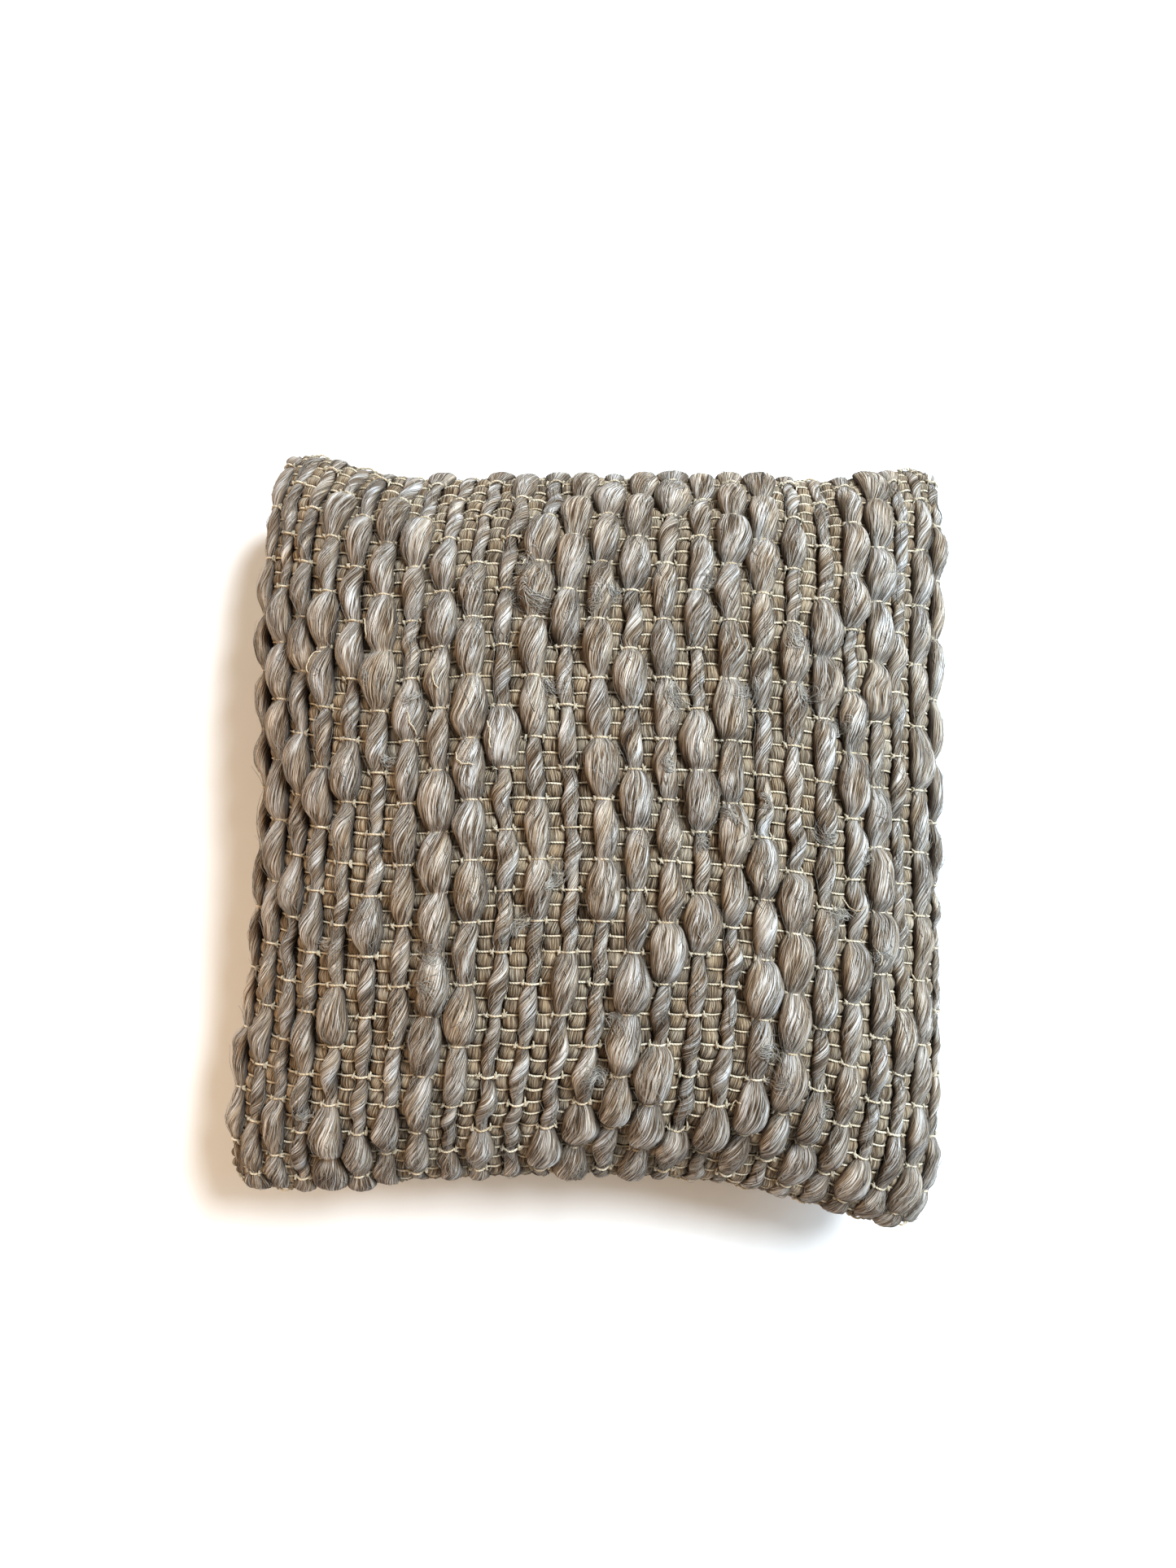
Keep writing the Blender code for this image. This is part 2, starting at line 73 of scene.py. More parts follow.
# --- The weave, in metres ------------------------------------------------------------------------
SLUB_COLUMNS = 25
THREAD_ROWS = 55
ROWS_PER_TIE = 4
ROWS_PER_PIECE = 11  # thread rows that share one piece
SLUB_BASE = 0.0025  # height of a slub's underside above the inner face
NECK_HALF_WIDTH = 0.0044
NECK_HALF_HEIGHT = 0.0026
SLUB_HALF_HEIGHT_MAX = 0.0066
SLUB_FLATNESS = 0.40  # half height as a share of width
SLUB_HALF_WIDTH_MIN = 0.0028
SLUB_SWAY_MAX = 0.0035
SLIM_WIDTH = 0.0122  # beads under this width curl and bulge like thin yarn
ROPE_WIDTH = 0.0150  # beads under this width show their two plies
SLUB_WIDTHS = {"thin": (0.0080, 0.0112), "medium": (0.0122, 0.0162), "fat": (0.0170, 0.0228)}
GROUND_HALF_WIDTH = 0.0054
GROUND_HALF_HEIGHT = 0.0029
GROUND_BASE = 0.0004
SEAM_YARN_INSET = 0.0135  # cloth coordinate from a side seam to the ground yarn beside it
SEAM_YARN_SHARE = 0.56  # width of that yarn as a share of the others'
THREAD_RADIUS = 0.00066
HALF_ARC = 0.243  # metres that one unit of s or t is taken as; the built cloth has 0.233 and 0.241
HAIR_LENGTH = (0.008, 0.030)
HAIR_RADIUS = (0.00012, 0.00024)
WISP_LENGTH = (0.012, 0.026)
WISP_RADIUS = (0.00016, 0.00030)
TAIL_LENGTH = (0.008, 0.022)
KNOT_HALF_LENGTH = (0.0012, 0.0026)
KNOT_RADIUS = (0.00045, 0.00072)
SEEDS = {FRONT: 41, BACK: 97}
BACK_TEXTURE_SHIFT = 31  # metres along the yarn, so the two sides don't look alike
INSERT_INSET = 0.0044
BASE_CLOTH_LAYER = (0.0003, 0.0024)  # heights over the inner face
CASING_LAYER = (0.0, 0.0005)
FIBRE_LAYER = (-0.004, 0.0)
FACING_X = {"west": (-0.158, -0.1066), "east": (0.1532, 0.196)}  # just past each end of the zip

# --- Cloth simulation ----------------------------------------------------------------------------
SIM_CELLS = 56
SIM_FRAMES = 20
SIM_PRESSURE = 4.0
SIM_CAP = 0.006  # farthest a point of the cloth may move from the CAD's face
SIM_START_INSET = 0.0035
SIM_HELD_BAND = 0.25  # cloth coordinates from a seam over which the cloth comes free
SIM_RESTING = 0.004  # a point this close above the level underside stays put
CLOTH_MOVES = {}  # side -> grid of moves, filled in by inflate_cover


def crown_share(angle):
    return np.sqrt(np.maximum(0.0, 1 - np.abs(np.sin(angle)) ** CROWN_POWER))


def even_angles(half_width):
    angle = np.linspace(0, math.pi / 2, 400)
    x, z = half_width * np.sin(angle), CROWN * crown_share(angle)
    along = np.concatenate([[0], np.cumsum(np.hypot(np.diff(x), np.diff(z)))])
    return along / along[-1], angle


EVEN_X = even_angles((EAST_X - WEST_X) / 2)
EVEN_Y = even_angles((NORTH_Y - SOUTH_Y) / 2)


def section_angle(cloth, table):
    return np.sign(cloth) * np.interp(np.abs(cloth), *table)


def smooth_step(x):
    x = np.clip(x, 0.0, 1.0)
    return x * x * (3 - 2 * x)


def lerp(a, b, share):
    return a + (b - a) * share


def side_line(low_corner, high_corner, middle, along, hollow):
    return lerp(middle, lerp(low_corner, high_corner, (along + 1) / 2), hollow)


def plan_point(a, b):
    bow_a, bow_b = np.abs(a) ** SOUTH_BOW_POWER, np.abs(b) ** SIDE_BOW_POWER
    west_start, east_start = NORTH_STRAIGHT
    beyond = np.maximum((a - east_start) / (1 - east_start), (west_start - a) / (1 + west_start))
    flare = np.maximum(beyond, 0) ** NORTH_FLARE_POWER
    west = side_line(CORNER_SW[0], CORNER_NW[0], WEST_X, b, bow_b)
    east = side_line(CORNER_SE[0], CORNER_NE[0], EAST_X, b, bow_b)
    south = side_line(CORNER_SW[1], CORNER_SE[1], SOUTH_Y, a, bow_a)
    north = side_line(CORNER_NW[1], CORNER_NE[1], NORTH_Y, a, flare)
    return lerp(west, east, (a + 1) / 2), lerp(south, north, (b + 1) / 2)


def flattened(depth):
    over = depth - FLAT_DEPTH
    rolled = depth - (over + FLOOR_ROLL) ** 2 / (4 * FLOOR_ROLL)
    return np.where(over >= FLOOR_ROLL, FLAT_DEPTH, np.where(over <= -FLOOR_ROLL, depth, rolled))


def mouth_half(s, t):
    along_seam = 1 + np.minimum(s - MOUTH_OPEN[0], MOUTH_OPEN[1] - s) / MOUTH_TAPER
    opening = smooth_step(along_seam) * smooth_step((t - 0.55) / 0.35)
    return lerp(SEAM_GAP / 2, ZIP_MOUTH / 2, opening)


def drawn_surface(s, t, side):
    """The inner face at cloth coordinates (s, t), each from -1 to 1 across the panel.

    It is the CAD's, apart from the west end of the zip's mouth."""
    s, t = np.broadcast_arrays(np.asarray(s, float), np.asarray(t, float))
    angle_s, angle_t = section_angle(s, EVEN_X), section_angle(t, EVEN_Y)
    high_s, high_t = crown_share(angle_s), crown_share(angle_t)
    rounding = 1 - CORNER_ROUNDING * np.abs(s * t) ** CORNER_ROUNDING_POWER
    a = lerp(np.sin(angle_s), s, CORNER_SPREAD * (1 - high_t)) * rounding
    b = lerp(np.sin(angle_t), t, CORNER_SPREAD * (1 - high_s)) * rounding
    x, y = plan_point(a, b)
    depth = CROWN * high_s * high_t
    if side == BACK:
        depth = flattened(depth)
    z = SEAM_HEIGHT + side * (depth + mouth_half(s, t))
    return np.stack([x, y, z], axis=-1)


def spline_weights(x, cells):
    """Cubic B-spline cell numbers and weights for places from -1 to 1."""
    place = np.clip((x + 1) / 2, 0, 1) * cells
    cell = np.minimum(place.astype(int), cells - 1)
    f = place - cell
    weights = [(1 - f) ** 3, 3 * f**3 - 6 * f**2 + 4, -3 * f**3 + 3 * f**2 + 3 * f + 1, f**3]
    return cell, [w / 6 for w in weights]


def moved(s, t, side):
    """How far the simulation moved the cloth at (s, t)."""
    if side not in CLOTH_MOVES:
        return 0.0
    cell_s, weights_s = spline_weights(s, SIM_CELLS)
    cell_t, weights_t = spline_weights(t, SIM_CELLS)
    total = np.zeros(s.shape + (3,))
    for i, weight_s in enumerate(weights_s):
        for j, weight_t in enumerate(weights_t):
            total += CLOTH_MOVES[side][cell_s + i, cell_t + j] * (weight_s * weight_t)[..., None]
    return total


def woven_drift(s, t, side):
    """Yarns never run quite straight: the weave wanders a little, except at the seam."""
    rng = np.random.default_rng(SEEDS[side] + 5)
    free = (1 - s**4) * (1 - t**4)
    drifts = []
    for reach in (0.0125, 0.0085):
        total = np.zeros_like(s)
        for _ in range(7):
            along_s, along_t = rng.uniform(-7, 7, 2)
            total = total + np.sin(along_s * s + along_t * t + rng.uniform(0, 2 * math.pi))
        drifts.append(total / 7**0.5 * reach * free)
    return s + drifts[0], t + drifts[1]


def surface(s, t, side):
    """The cover's inner face after the cloth simulation."""
    s, t = np.broadcast_arrays(np.asarray(s, float), np.asarray(t, float))
    if side in CLOTH_MOVES:
        s, t = woven_drift(s, t, side)
    return drawn_surface(s, t, side) + moved(s, t, side)


def unit(v):
    return v / np.maximum(np.linalg.norm(v, axis=-1, keepdims=True), 1e-12)


def surface_frame(s, t, side):
    """Point, direction across (+s), direction along (+t) and outward normal."""
    step = 0.004
    s, t = np.broadcast_arrays(np.asarray(s, float), np.asarray(t, float))
    point = surface(s, t, side)
    low_s, high_s = np.clip(s - step, -1, 1), np.clip(s + step, -1, 1)
    low_t, high_t = np.clip(t - step, -1, 1), np.clip(t + step, -1, 1)
    across = unit(surface(high_s, t, side) - surface(low_s, t, side))
    along = unit(surface(s, high_t, side) - surface(s, low_t, side))
    normal = unit(np.cross(across, along) * side)
    return point, across, along, normal


# --- Mesh making ---------------------------------------------------------------------------------
def new_piece(name, points, faces, mat, uv, body="pillow", painted_shade=None):
    """An object from vertices and faces, with a texture coordinate for each corner of each face.

    The last argument is painted shade for each vertex: from 0, darkest, deep between yarns and under them,
    to 1 on top of one; the wool multiplies its colour by it."""
    mesh = bpy.data.meshes.new(name)
    flat = np.concatenate([np.asarray(group).reshape(-1) for group in faces])
    sizes = np.concatenate([np.full(len(group), group.shape[1]) for group in faces])
    starts = np.concatenate([[0], np.cumsum(sizes)[:-1]])
    mesh.vertices.add(len(points))
    mesh.vertices.foreach_set("co", np.asarray(points, np.float32).ravel())
    mesh.loops.add(len(flat))
    mesh.loops.foreach_set("vertex_index", flat.astype(np.int32))
    mesh.polygons.add(len(sizes))
    mesh.polygons.foreach_set("loop_start", starts.astype(np.int32))
    layer = mesh.uv_layers.new(name="yarn")
    layer.data.foreach_set("uv", np.asarray(uv, np.float32).ravel())
    mesh.update(calc_edges=True)
    mesh.validate()
    mesh.polygons.foreach_set("use_smooth", np.full(len(mesh.polygons), True))
    if painted_shade is not None:
        layer = mesh.attributes.new("painted_shade", "FLOAT", "POINT")
        layer.data.foreach_set("value", np.asarray(painted_shade, np.float32).ravel())
    mesh.materials.append(mat)
    obj = bpy.data.objects.new(name, mesh)
    bpy.context.scene.collection.objects.link(obj)
    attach(obj, body)
    return obj


def grid_quads(rows, columns):
    """Quads of a grid of points, and the points round its rim in order."""
    index = np.arange(rows * columns).reshape(rows, columns)
    corners = (index[:-1, :-1], index[1:, :-1], index[1:, 1:], index[:-1, 1:])
    rim = np.concatenate([index[:-1, 0], index[-1, :-1], index[:0:-1, -1], index[0, :0:-1]])
    return np.stack(corners, axis=-1).reshape(-1, 4), rim


def tube_faces(rings, around):
    """Quads of a tube with flat ends, wound to face outwards, and each corner's (ring, step)."""
    ring, step = np.meshgrid(np.arange(rings - 1), np.arange(around), indexing="ij")
    ring, step = ring.ravel(), step.ravel()
    corners = [(ring, step), (ring + 1, step), (ring + 1, step + 1), (ring, step + 1)]
    quads = np.stack([r * around + k % around for r, k in corners], axis=1)
    return quads, np.stack([np.stack([r, k], axis=1) for r, k in corners], axis=1)


def tube_parts(points, uv):
    """Vertices, faces and corner coordinates of a closed tube through rings of points."""
    rings, around = points.shape[:2]
    quads, corners = tube_faces(rings, around)
    quad_uv = uv[corners[..., 0], corners[..., 1]].reshape(-1, 2)
    first = np.arange(around)[None, :]
    last = (rings - 1) * around + np.arange(around)[None, ::-1]
    cap_uv = np.concatenate([uv[0, :around], uv[-1, :around][::-1]])
    return points.reshape(-1, 3), [quads, first, last], np.concatenate([quad_uv, cap_uv])


def joined_tubes(tubes):
    """One set of vertices, faces and corner coordinates from several tubes of the same shape."""
    vertices, quads, caps, quad_uv, cap_uv = [], [], [], [], []
    count = 0
    for points, uv in tubes:
        part, (sides, first, last), corner_uv = tube_parts(points, uv)
        vertices.append(part)
        quads.append(sides + count)
        caps += [first + count, last + count]
        quad_uv.append(corner_uv[: sides.size])
        cap_uv.append(corner_uv[sides.size :])
        count += len(part)
    faces = [np.concatenate(quads), np.concatenate(caps)]
    return np.concatenate(vertices), faces, np.concatenate(quad_uv + cap_uv)


def piece_of_tubes(name, tubes, mat):
    vertices, faces, uv = joined_tubes(tubes)
    return new_piece(name, vertices, faces, mat, uv=uv)


def ring_angles(around):
    """Angles round a yarn, starting underneath it, with the last repeated for the texture."""
    return -math.pi / 2 + np.arange(around + 1) * 2 * math.pi / around


def sweep(
    centres, sideways, upwards, half_width, half_height, around, length,
    turned=0.0, offset=0.0, uv_radius=0.006,
):
    """Rings of an elliptical yarn along a line, and its texture coordinates in metres.

    turned is how far round the yarn its fibres have moved at each ring."""
    angle = ring_angles(around)
    wide = np.asarray(half_width)[..., None] if np.ndim(half_width) == 1 else half_width
    high = np.asarray(half_height)[..., None] if np.ndim(half_height) == 1 else half_height
    cos, sin = np.cos(angle[:-1]), np.sin(angle[:-1])
    points = centres[:, None] + sideways[:, None] * (wide * cos)[..., None]
    points = points + upwards[:, None] * (high * sin)[..., None]
    u = angle[None, :] * np.broadcast_to(uv_radius, len(centres))[:, None]
    u = u + np.broadcast_to(turned, len(centres))[:, None]
    v = np.broadcast_to(length[:, None] + offset, u.shape)
    return points, np.stack([u, v], axis=-1)


def fibre_tube(line, outward, radius, sides, length, offset, uv_radius=0.006):
    """A thin round tube along a line that lies on something."""
    heading = unit(np.gradient(line, axis=0))
    sideways = unit(np.cross(heading, outward))
    upwards = unit(np.cross(sideways, heading))
    return sweep(
        line, sideways, upwards, radius, radius, sides, length, offset=offset, uv_radius=uv_radius
    )


def lengths_along(points):
    return np.concatenate([[0], np.cumsum(np.linalg.norm(np.diff(points, axis=0), axis=1))])


def smoothed(values, width):
    """Moving average along the last axis."""
    kernel = np.hanning(width + 2)[1:-1]
    kernel /= kernel.sum()
    padded = np.pad(values, [(0, 0)] * (values.ndim - 1) + [(width // 2, width // 2)], mode="edge")
    return np.apply_along_axis(lambda row: np.convolve(row, kernel, mode="valid"), -1, padded)


def wander(rng, count, width):
    """A random line that strays either side of nought, smoothed over a width."""
    return smoothed(rng.normal(0, 1, count), width)


# --- Materials -----------------------------------------------------------------------------------
def srgb(r, g, b):
    channel = [c / 255 for c in (r, g, b)]
    return tuple(c / 12.92 if c <= 0.04045 else ((c + 0.055) / 1.055) ** 2.4 for c in channel)


class Nodes:
    """Short ways to add and link shader nodes."""

    def __init__(self, name):
        self.material = bpy.data.materials.new(name)
        self.material.use_nodes = True
        self.tree = self.material.node_tree
        self.shader = self.tree.nodes["Principled BSDF"]

    def link(self, source, socket):
        self.tree.links.new(source, socket)

    def add(self, kind, **settings):
        node = self.tree.nodes.new(kind)
        for key, value in settings.items():
            setattr(node, key, value)
        return node

    def uv(self, scale, shift=(0, 0, 0), turn=0.0):
        """The yarn's own coordinates in metres, turned by some degrees and then scaled."""
        source = self.add("ShaderNodeUVMap", uv_map="yarn").outputs["UV"]
        if turn:
            rotation = self.add("ShaderNodeMapping")
            rotation.inputs["Rotation"].default_value = (0, 0, math.radians(turn))
            self.link(source, rotation.inputs["Vector"])
            source = rotation.outputs["Vector"]
        mapping = self.add("ShaderNodeMapping")
        mapping.inputs["Scale"].default_value = (*scale, 1)
        mapping.inputs["Location"].default_value = shift
        self.link(source, mapping.inputs["Vector"])
        return mapping.outputs["Vector"]

    def object_place(self, scale):
        source = self.add("ShaderNodeTexCoord")
        mapping = self.add("ShaderNodeMapping")
        mapping.inputs["Scale"].default_value = (scale, scale, scale)
        self.link(source.outputs["Object"], mapping.inputs["Vector"])
        return mapping.outputs["Vector"]

    def noise(self, vector, detail=3.0, roughness=0.55, distortion=0.0):
        node = self.add("ShaderNodeTexNoise")
        node.inputs["Scale"].default_value = 1.0
        node.inputs["Detail"].default_value = detail
        node.inputs["Roughness"].default_value = roughness
        node.inputs["Distortion"].default_value = distortion
        self.link(vector, node.inputs["Vector"])
        return node.outputs["Fac"]

    def math(self, operation, a, b=0.0, clamp=False):
        node = self.add("ShaderNodeMath", operation=operation, use_clamp=clamp)
        for value, socket in zip((a, b), node.inputs):
            if isinstance(value, (int, float)):
                socket.default_value = value
            else:
                self.link(value, socket)
        return node.outputs[0]

    def times(self, a, b):
        return self.math("MULTIPLY", a, b)

    def plus(self, a, b):
        return self.math("ADD", a, b)

    def minus(self, a, b):
        return self.math("SUBTRACT", a, b)

    def above(self, value, level, gain):
        """0 up to a level, then a steep rise to 1."""
        return self.math("MULTIPLY", self.minus(value, level), gain, clamp=True)

    def bands(self, vector, direction, scale=1.0, distortion=0.0, detail_scale=1.0):
        node = self.add("ShaderNodeTexWave", wave_type="BANDS", bands_direction=direction)
        node.inputs["Scale"].default_value = scale
        node.inputs["Distortion"].default_value = distortion
        node.inputs["Detail Scale"].default_value = detail_scale
        self.link(vector, node.inputs["Vector"])
        return node.outputs["Fac"]

    def ramp(self, factor, stops):
        node = self.add("ShaderNodeValToRGB")
        elements = node.color_ramp.elements
        while len(elements) < len(stops):
            elements.new(0.5)
        for element, (position, colour) in zip(elements, stops):
            element.position = position
            element.color = (*colour, 1)
        self.link(factor, node.inputs["Fac"])
        return node.outputs["Color"]

    def mix(self, factor, a, b, blend="MIX"):
        node = self.add("ShaderNodeMix", data_type="RGBA", blend_type=blend)
        for value, socket in zip((factor, a, b), (node.inputs[0], node.inputs[6], node.inputs[7])):
            if isinstance(value, (int, float)):
                socket.default_value = value
            elif isinstance(value, tuple):
                socket.default_value = (*value, 1)
            else:
                self.link(value, socket)
        return node.outputs[2]

    def bump(self, height, distance, strength=1.0):
        node = self.add("ShaderNodeBump")
        node.inputs["Distance"].default_value = distance
        node.inputs["Strength"].default_value = strength
        self.link(height, node.inputs["Height"])
        self.link(node.outputs["Normal"], self.shader.inputs["Normal"])

    def finish(self, colour, roughness, sheen=0.0, metallic=0.0, specular=0.3):
        inputs = self.shader.inputs
        self.link(colour, inputs["Base Color"])
        if isinstance(roughness, float):
            inputs["Roughness"].default_value = roughness
        else:
            self.link(roughness, inputs["Roughness"])
        inputs["Metallic"].default_value = metallic
        inputs["Sheen Weight"].default_value = sheen
        inputs["Sheen Roughness"].default_value = 0.45
        inputs["Specular IOR Level"].default_value = specular
        return self.material


def wool(name, dark, middle, light, fleck_amount, sheen, with_painted_shade=True):
    """Heathered wool: fibres run along the yarn and follow its twist."""
    n = Nodes(name)
    fine = n.noise(n.uv((2300, 80)), detail=2.0)
    strand = n.noise(n.uv((1180, 46), (3, 7, 0)), detail=2.0, roughness=0.6, distortion=0.3)
    bead = n.noise(n.uv((70, 22), (11, 2, 0)), detail=2.0)
    heather = n.plus(n.times(fine, 0.36), n.times(strand, 0.64))
    tone = n.plus(heather, n.times(n.minus(bead, 0.5), 0.30))
    colour = n.ramp(tone, [(0.365, dark), (0.475, middle), (0.60, light)])
    warmth = n.noise(n.uv((45, 14), (19, 5, 0)), detail=1.0)
    tint = n.ramp(warmth, [(0.38, (1.0, 0.90, 0.79)), (0.62, (0.97, 0.98, 1.02))])
    colour = n.mix(1.0, colour, tint, "MULTIPLY")
    streak = n.noise(n.uv((620, 15), (5, 31, 0)), detail=2.0)
    dark_streak = n.above(streak, 0.595, 14)
    colour = n.mix(n.times(dark_streak, 0.65), colour, srgb(46, 33, 24))
    rust = n.noise(n.uv((260, 19), (23, 3, 0)), detail=1.0)
    rust_streak = n.above(rust, 0.72, 12)
    colour = n.mix(n.times(rust_streak, fleck_amount), colour, srgb(118, 74, 44))
    for turn, reach in ((14, 0.60), (-11, 0.62), (27, 0.64)):
        stray = n.noise(n.uv((1100, 46), (41 + turn, 13, 0), turn), detail=1.0, distortion=0.4)
        stray_fibre = n.above(stray, reach, 12)
        colour = n.mix(n.times(stray_fibre, 0.5), colour, light)
    # Painted shade: the colour is multiplied down where the mesh's shade attribute is low, deep between
    # yarns, in strand creases and on the flanks and undersides of the yarns.
    if with_painted_shade:
        painted_shade = n.add("ShaderNodeAttribute", attribute_name="painted_shade").outputs["Fac"]
        painted_shade_stops = [(0.0, (0.13, 0.095, 0.07)), (0.5, (0.53, 0.44, 0.34)), (1.0, (1.0, 1.0, 1.0))]
        painted_shade_colour = n.ramp(painted_shade, painted_shade_stops)
        colour = n.mix(1.0, colour, painted_shade_colour, "MULTIPLY")
    n.bump(n.plus(fine, n.times(strand, 1.6)), 0.0012, 0.9)
    roughness = n.minus(1.0, n.times(fine, 0.22))
    return n.finish(colour, roughness, sheen=sheen, specular=0.15)


def cotton_thread(name):
    """Two-ply cream cotton with the slant of its twist."""
    n = Nodes(name)
    ply = n.bands(n.uv((260, 420)), "DIAGONAL", distortion=0.6)
    fuzz = n.noise(n.uv((1500, 900)), detail=2.0)
    stain = n.noise(n.uv((30, 14)), detail=2.0)
    colour = n.ramp(stain, [(0.3, srgb(172, 152, 122)), (0.7, srgb(224, 211, 188))])
    colour = n.mix(n.times(ply, 0.16), colour, srgb(160, 136, 100))
    n.bump(n.plus(ply, n.times(fuzz, 0.5)), 0.0003, 0.7)
    return n.finish(colour, n.minus(0.95, n.times(fuzz, 0.2)), sheen=0.15)


def plain_weave(name, dark, light, pitch, sheen=0.1):
    """A fine plain weave: two sets of threads over and under one another."""
    n = Nodes(name)
    heights = []
    for direction in ("X", "Y"):
        threads = n.uv((0.314 / pitch, 0.314 / pitch))
        heights.append(n.bands(threads, direction, distortion=0.4))
    height = n.times(heights[0], heights[1])
    slub = n.noise(n.uv((60, 60)), detail=4.0)
    tone = n.plus(n.times(height, 0.55), n.times(slub, 0.6))
    colour = n.ramp(tone, [(0.25, dark), (0.75, light)])
    n.bump(height, pitch * 0.4, 0.6)
    return n.finish(colour, n.minus(0.98, n.times(slub, 0.15)), sheen=sheen)


def lofty_fibre(name):
    n = Nodes(name)
    tuft = n.noise(n.object_place(38), detail=6.0, roughness=0.7)
    strand = n.noise(n.object_place(260), detail=3.0, distortion=1.2)
    colour = n.ramp(tuft, [(0.3, srgb(205, 204, 200)), (0.7, srgb(246, 246, 244))])
    n.bump(n.plus(tuft, n.times(strand, 0.4)), 0.004, 0.8)
    return n.finish(colour, n.minus(1.0, n.times(strand, 0.1)), sheen=0.3)


def herringbone_tape(name):
    """Zip tape: narrow twill ribs that turn back and forth."""
    n = Nodes(name)
    rib = n.bands(n.object_place(1), "X", scale=380, distortion=2.0, detail_scale=300)
    fuzz = n.noise(n.object_place(900), detail=3.0)
    colour = n.ramp(rib, [(0.1, srgb(150, 132, 104)), (0.9, srgb(196, 178, 148))])
    colour = n.mix(n.times(fuzz, 0.3), colour, srgb(120, 102, 78))
    n.bump(rib, 0.0002, 0.7)
    return n.finish(colour, n.minus(0.95, n.times(fuzz, 0.2)), sheen=0.1)


def moulded_plastic(name):
    n = Nodes(name)
    grain = n.noise(n.object_place(1400), detail=2.0)
    wear = n.noise(n.object_place(120), detail=4.0)
    colour = n.ramp(wear, [(0.3, srgb(168, 150, 122)), (0.7, srgb(192, 175, 148))])
    n.bump(grain, 0.00005, 0.4)
    return n.finish(colour, n.plus(0.32, n.times(wear, 0.2)), specular=0.5)


def antique_brass(name):
    """Brass darkened in its hollows, with brushed and rubbed high spots."""
    n = Nodes(name)
    brushed = n.noise(n.object_place(2200), detail=2.0, distortion=0.5)
    patina = n.noise(n.object_place(320), detail=5.0, roughness=0.65)
    tones = [(0.32, srgb(92, 72, 44)), (0.52, srgb(150, 120, 74)), (0.75, srgb(190, 158, 104))]
    colour = n.ramp(patina, tones)
    roughness = n.minus(0.5, n.times(patina, 0.25))
    n.bump(n.plus(brushed, patina), 0.00004, 0.5)
    return n.finish(colour, roughness, metallic=1.0, specular=0.5)


def satin_ribbon(name):
    n = Nodes(name)
    rib = n.bands(n.object_place(1), "Y", scale=900)
    crease = n.noise(n.object_place(90), detail=2.0)
    colour = n.ramp(crease, [(0.3, srgb(222, 219, 211)), (0.7, srgb(242, 240, 234))])
    n.bump(rib, 0.00006, 0.5)
    return n.finish(colour, n.plus(0.35, n.times(crease, 0.2)), sheen=0.2)


def painted_floor(name):
    n = Nodes(name)
    grain = n.noise(n.object_place(40), detail=4.0)
    colour = n.ramp(grain, [(0.3, (0.93, 0.93, 0.93)), (0.7, (0.95, 0.95, 0.95))])
    return n.finish(colour, 0.9, specular=0.1)


WOOL_SLUB = wool("wool_slub", srgb(38, 25, 14), srgb(120, 102, 80), srgb(242, 241, 239), 0.6, 0.08)
WOOL_HAIR = wool(
    "wool_hair", srgb(112, 97, 80), srgb(178, 167, 151), srgb(238, 232, 223), 0.0, 0.1, with_painted_shade=False
)
WOOL_GROUND = wool("wool_ground", srgb(40, 28, 18), srgb(106, 88, 68), srgb(186, 171, 148), 0.3, 0.05)
COTTON = cotton_thread("cotton_tie_thread")
# The base cloth's dark brown is partly the cloth's own colour and partly painted shade for the gaps between
# the yarns, where it shows.
BASE_CLOTH = plain_weave("base_cloth", srgb(50, 37, 25), srgb(92, 73, 52), 0.0022)
CASING = plain_weave("cotton_casing", srgb(206, 200, 186), srgb(238, 234, 224), 0.0006)
FIBRE = lofty_fibre("polyester_fibre")
TAPE = herringbone_tape("zip_tape_twill")
TEETH = moulded_plastic("zip_teeth_acetal")
BRASS = antique_brass("antique_brass")
SATIN = satin_ribbon("label_satin")
OVERLOCK = herringbone_tape("overlocked_edge")
FLOOR = painted_floor("pale_floor")


# --- Cloth simulation of the cover ---------------------------------------------------------------
def cover_grid():
    line = np.linspace(-1, 1, SIM_CELLS + 1)
    return np.meshgrid(line, line, indexing="ij")


def filling_lumps(s, t, seed):
    """Uneven stuffing: broad swells and hollows, none of them at the seam."""
    rng = np.random.default_rng(seed)
    lumps = np.zeros_like(s)
    for _ in range(26):
        centre_s, centre_t = rng.uniform(-0.85, 0.85, 2)
        reach = rng.uniform(0.14, 0.34)
        lumps += rng.normal() * np.exp(-((s - centre_s) ** 2 + (t - centre_t) ** 2) / reach**2)
    return lumps * 0.0011 * (1 - s**6) * (1 - t**6)


def closed_cover(start):
    """Both panels and the wall between them as one mesh, with its seam in a vertex group."""
    count = SIM_CELLS + 1
    total = count * count
    quads, rim = grid_quads(count, count)
    after = np.roll(rim, -1)
    wall = np.stack([rim + total, after + total, after, rim], axis=1)
    mesh = bpy.data.meshes.new("cover_simulated")
    vertices = np.concatenate([start[FRONT].reshape(-1, 3), start[BACK].reshape(-1, 3)])
    faces = np.concatenate([quads, quads[:, ::-1] + total, wall])
    mesh.from_pydata(vertices.tolist(), [], faces.tolist())
    cover = bpy.data.objects.new("cover_simulated", mesh)
    bpy.context.scene.collection.objects.link(cover)
    seam = cover.vertex_groups.new(name="seam")
    seam.add([int(i) for i in np.concatenate([rim, rim + total])], 1.0, "REPLACE")
    return cover


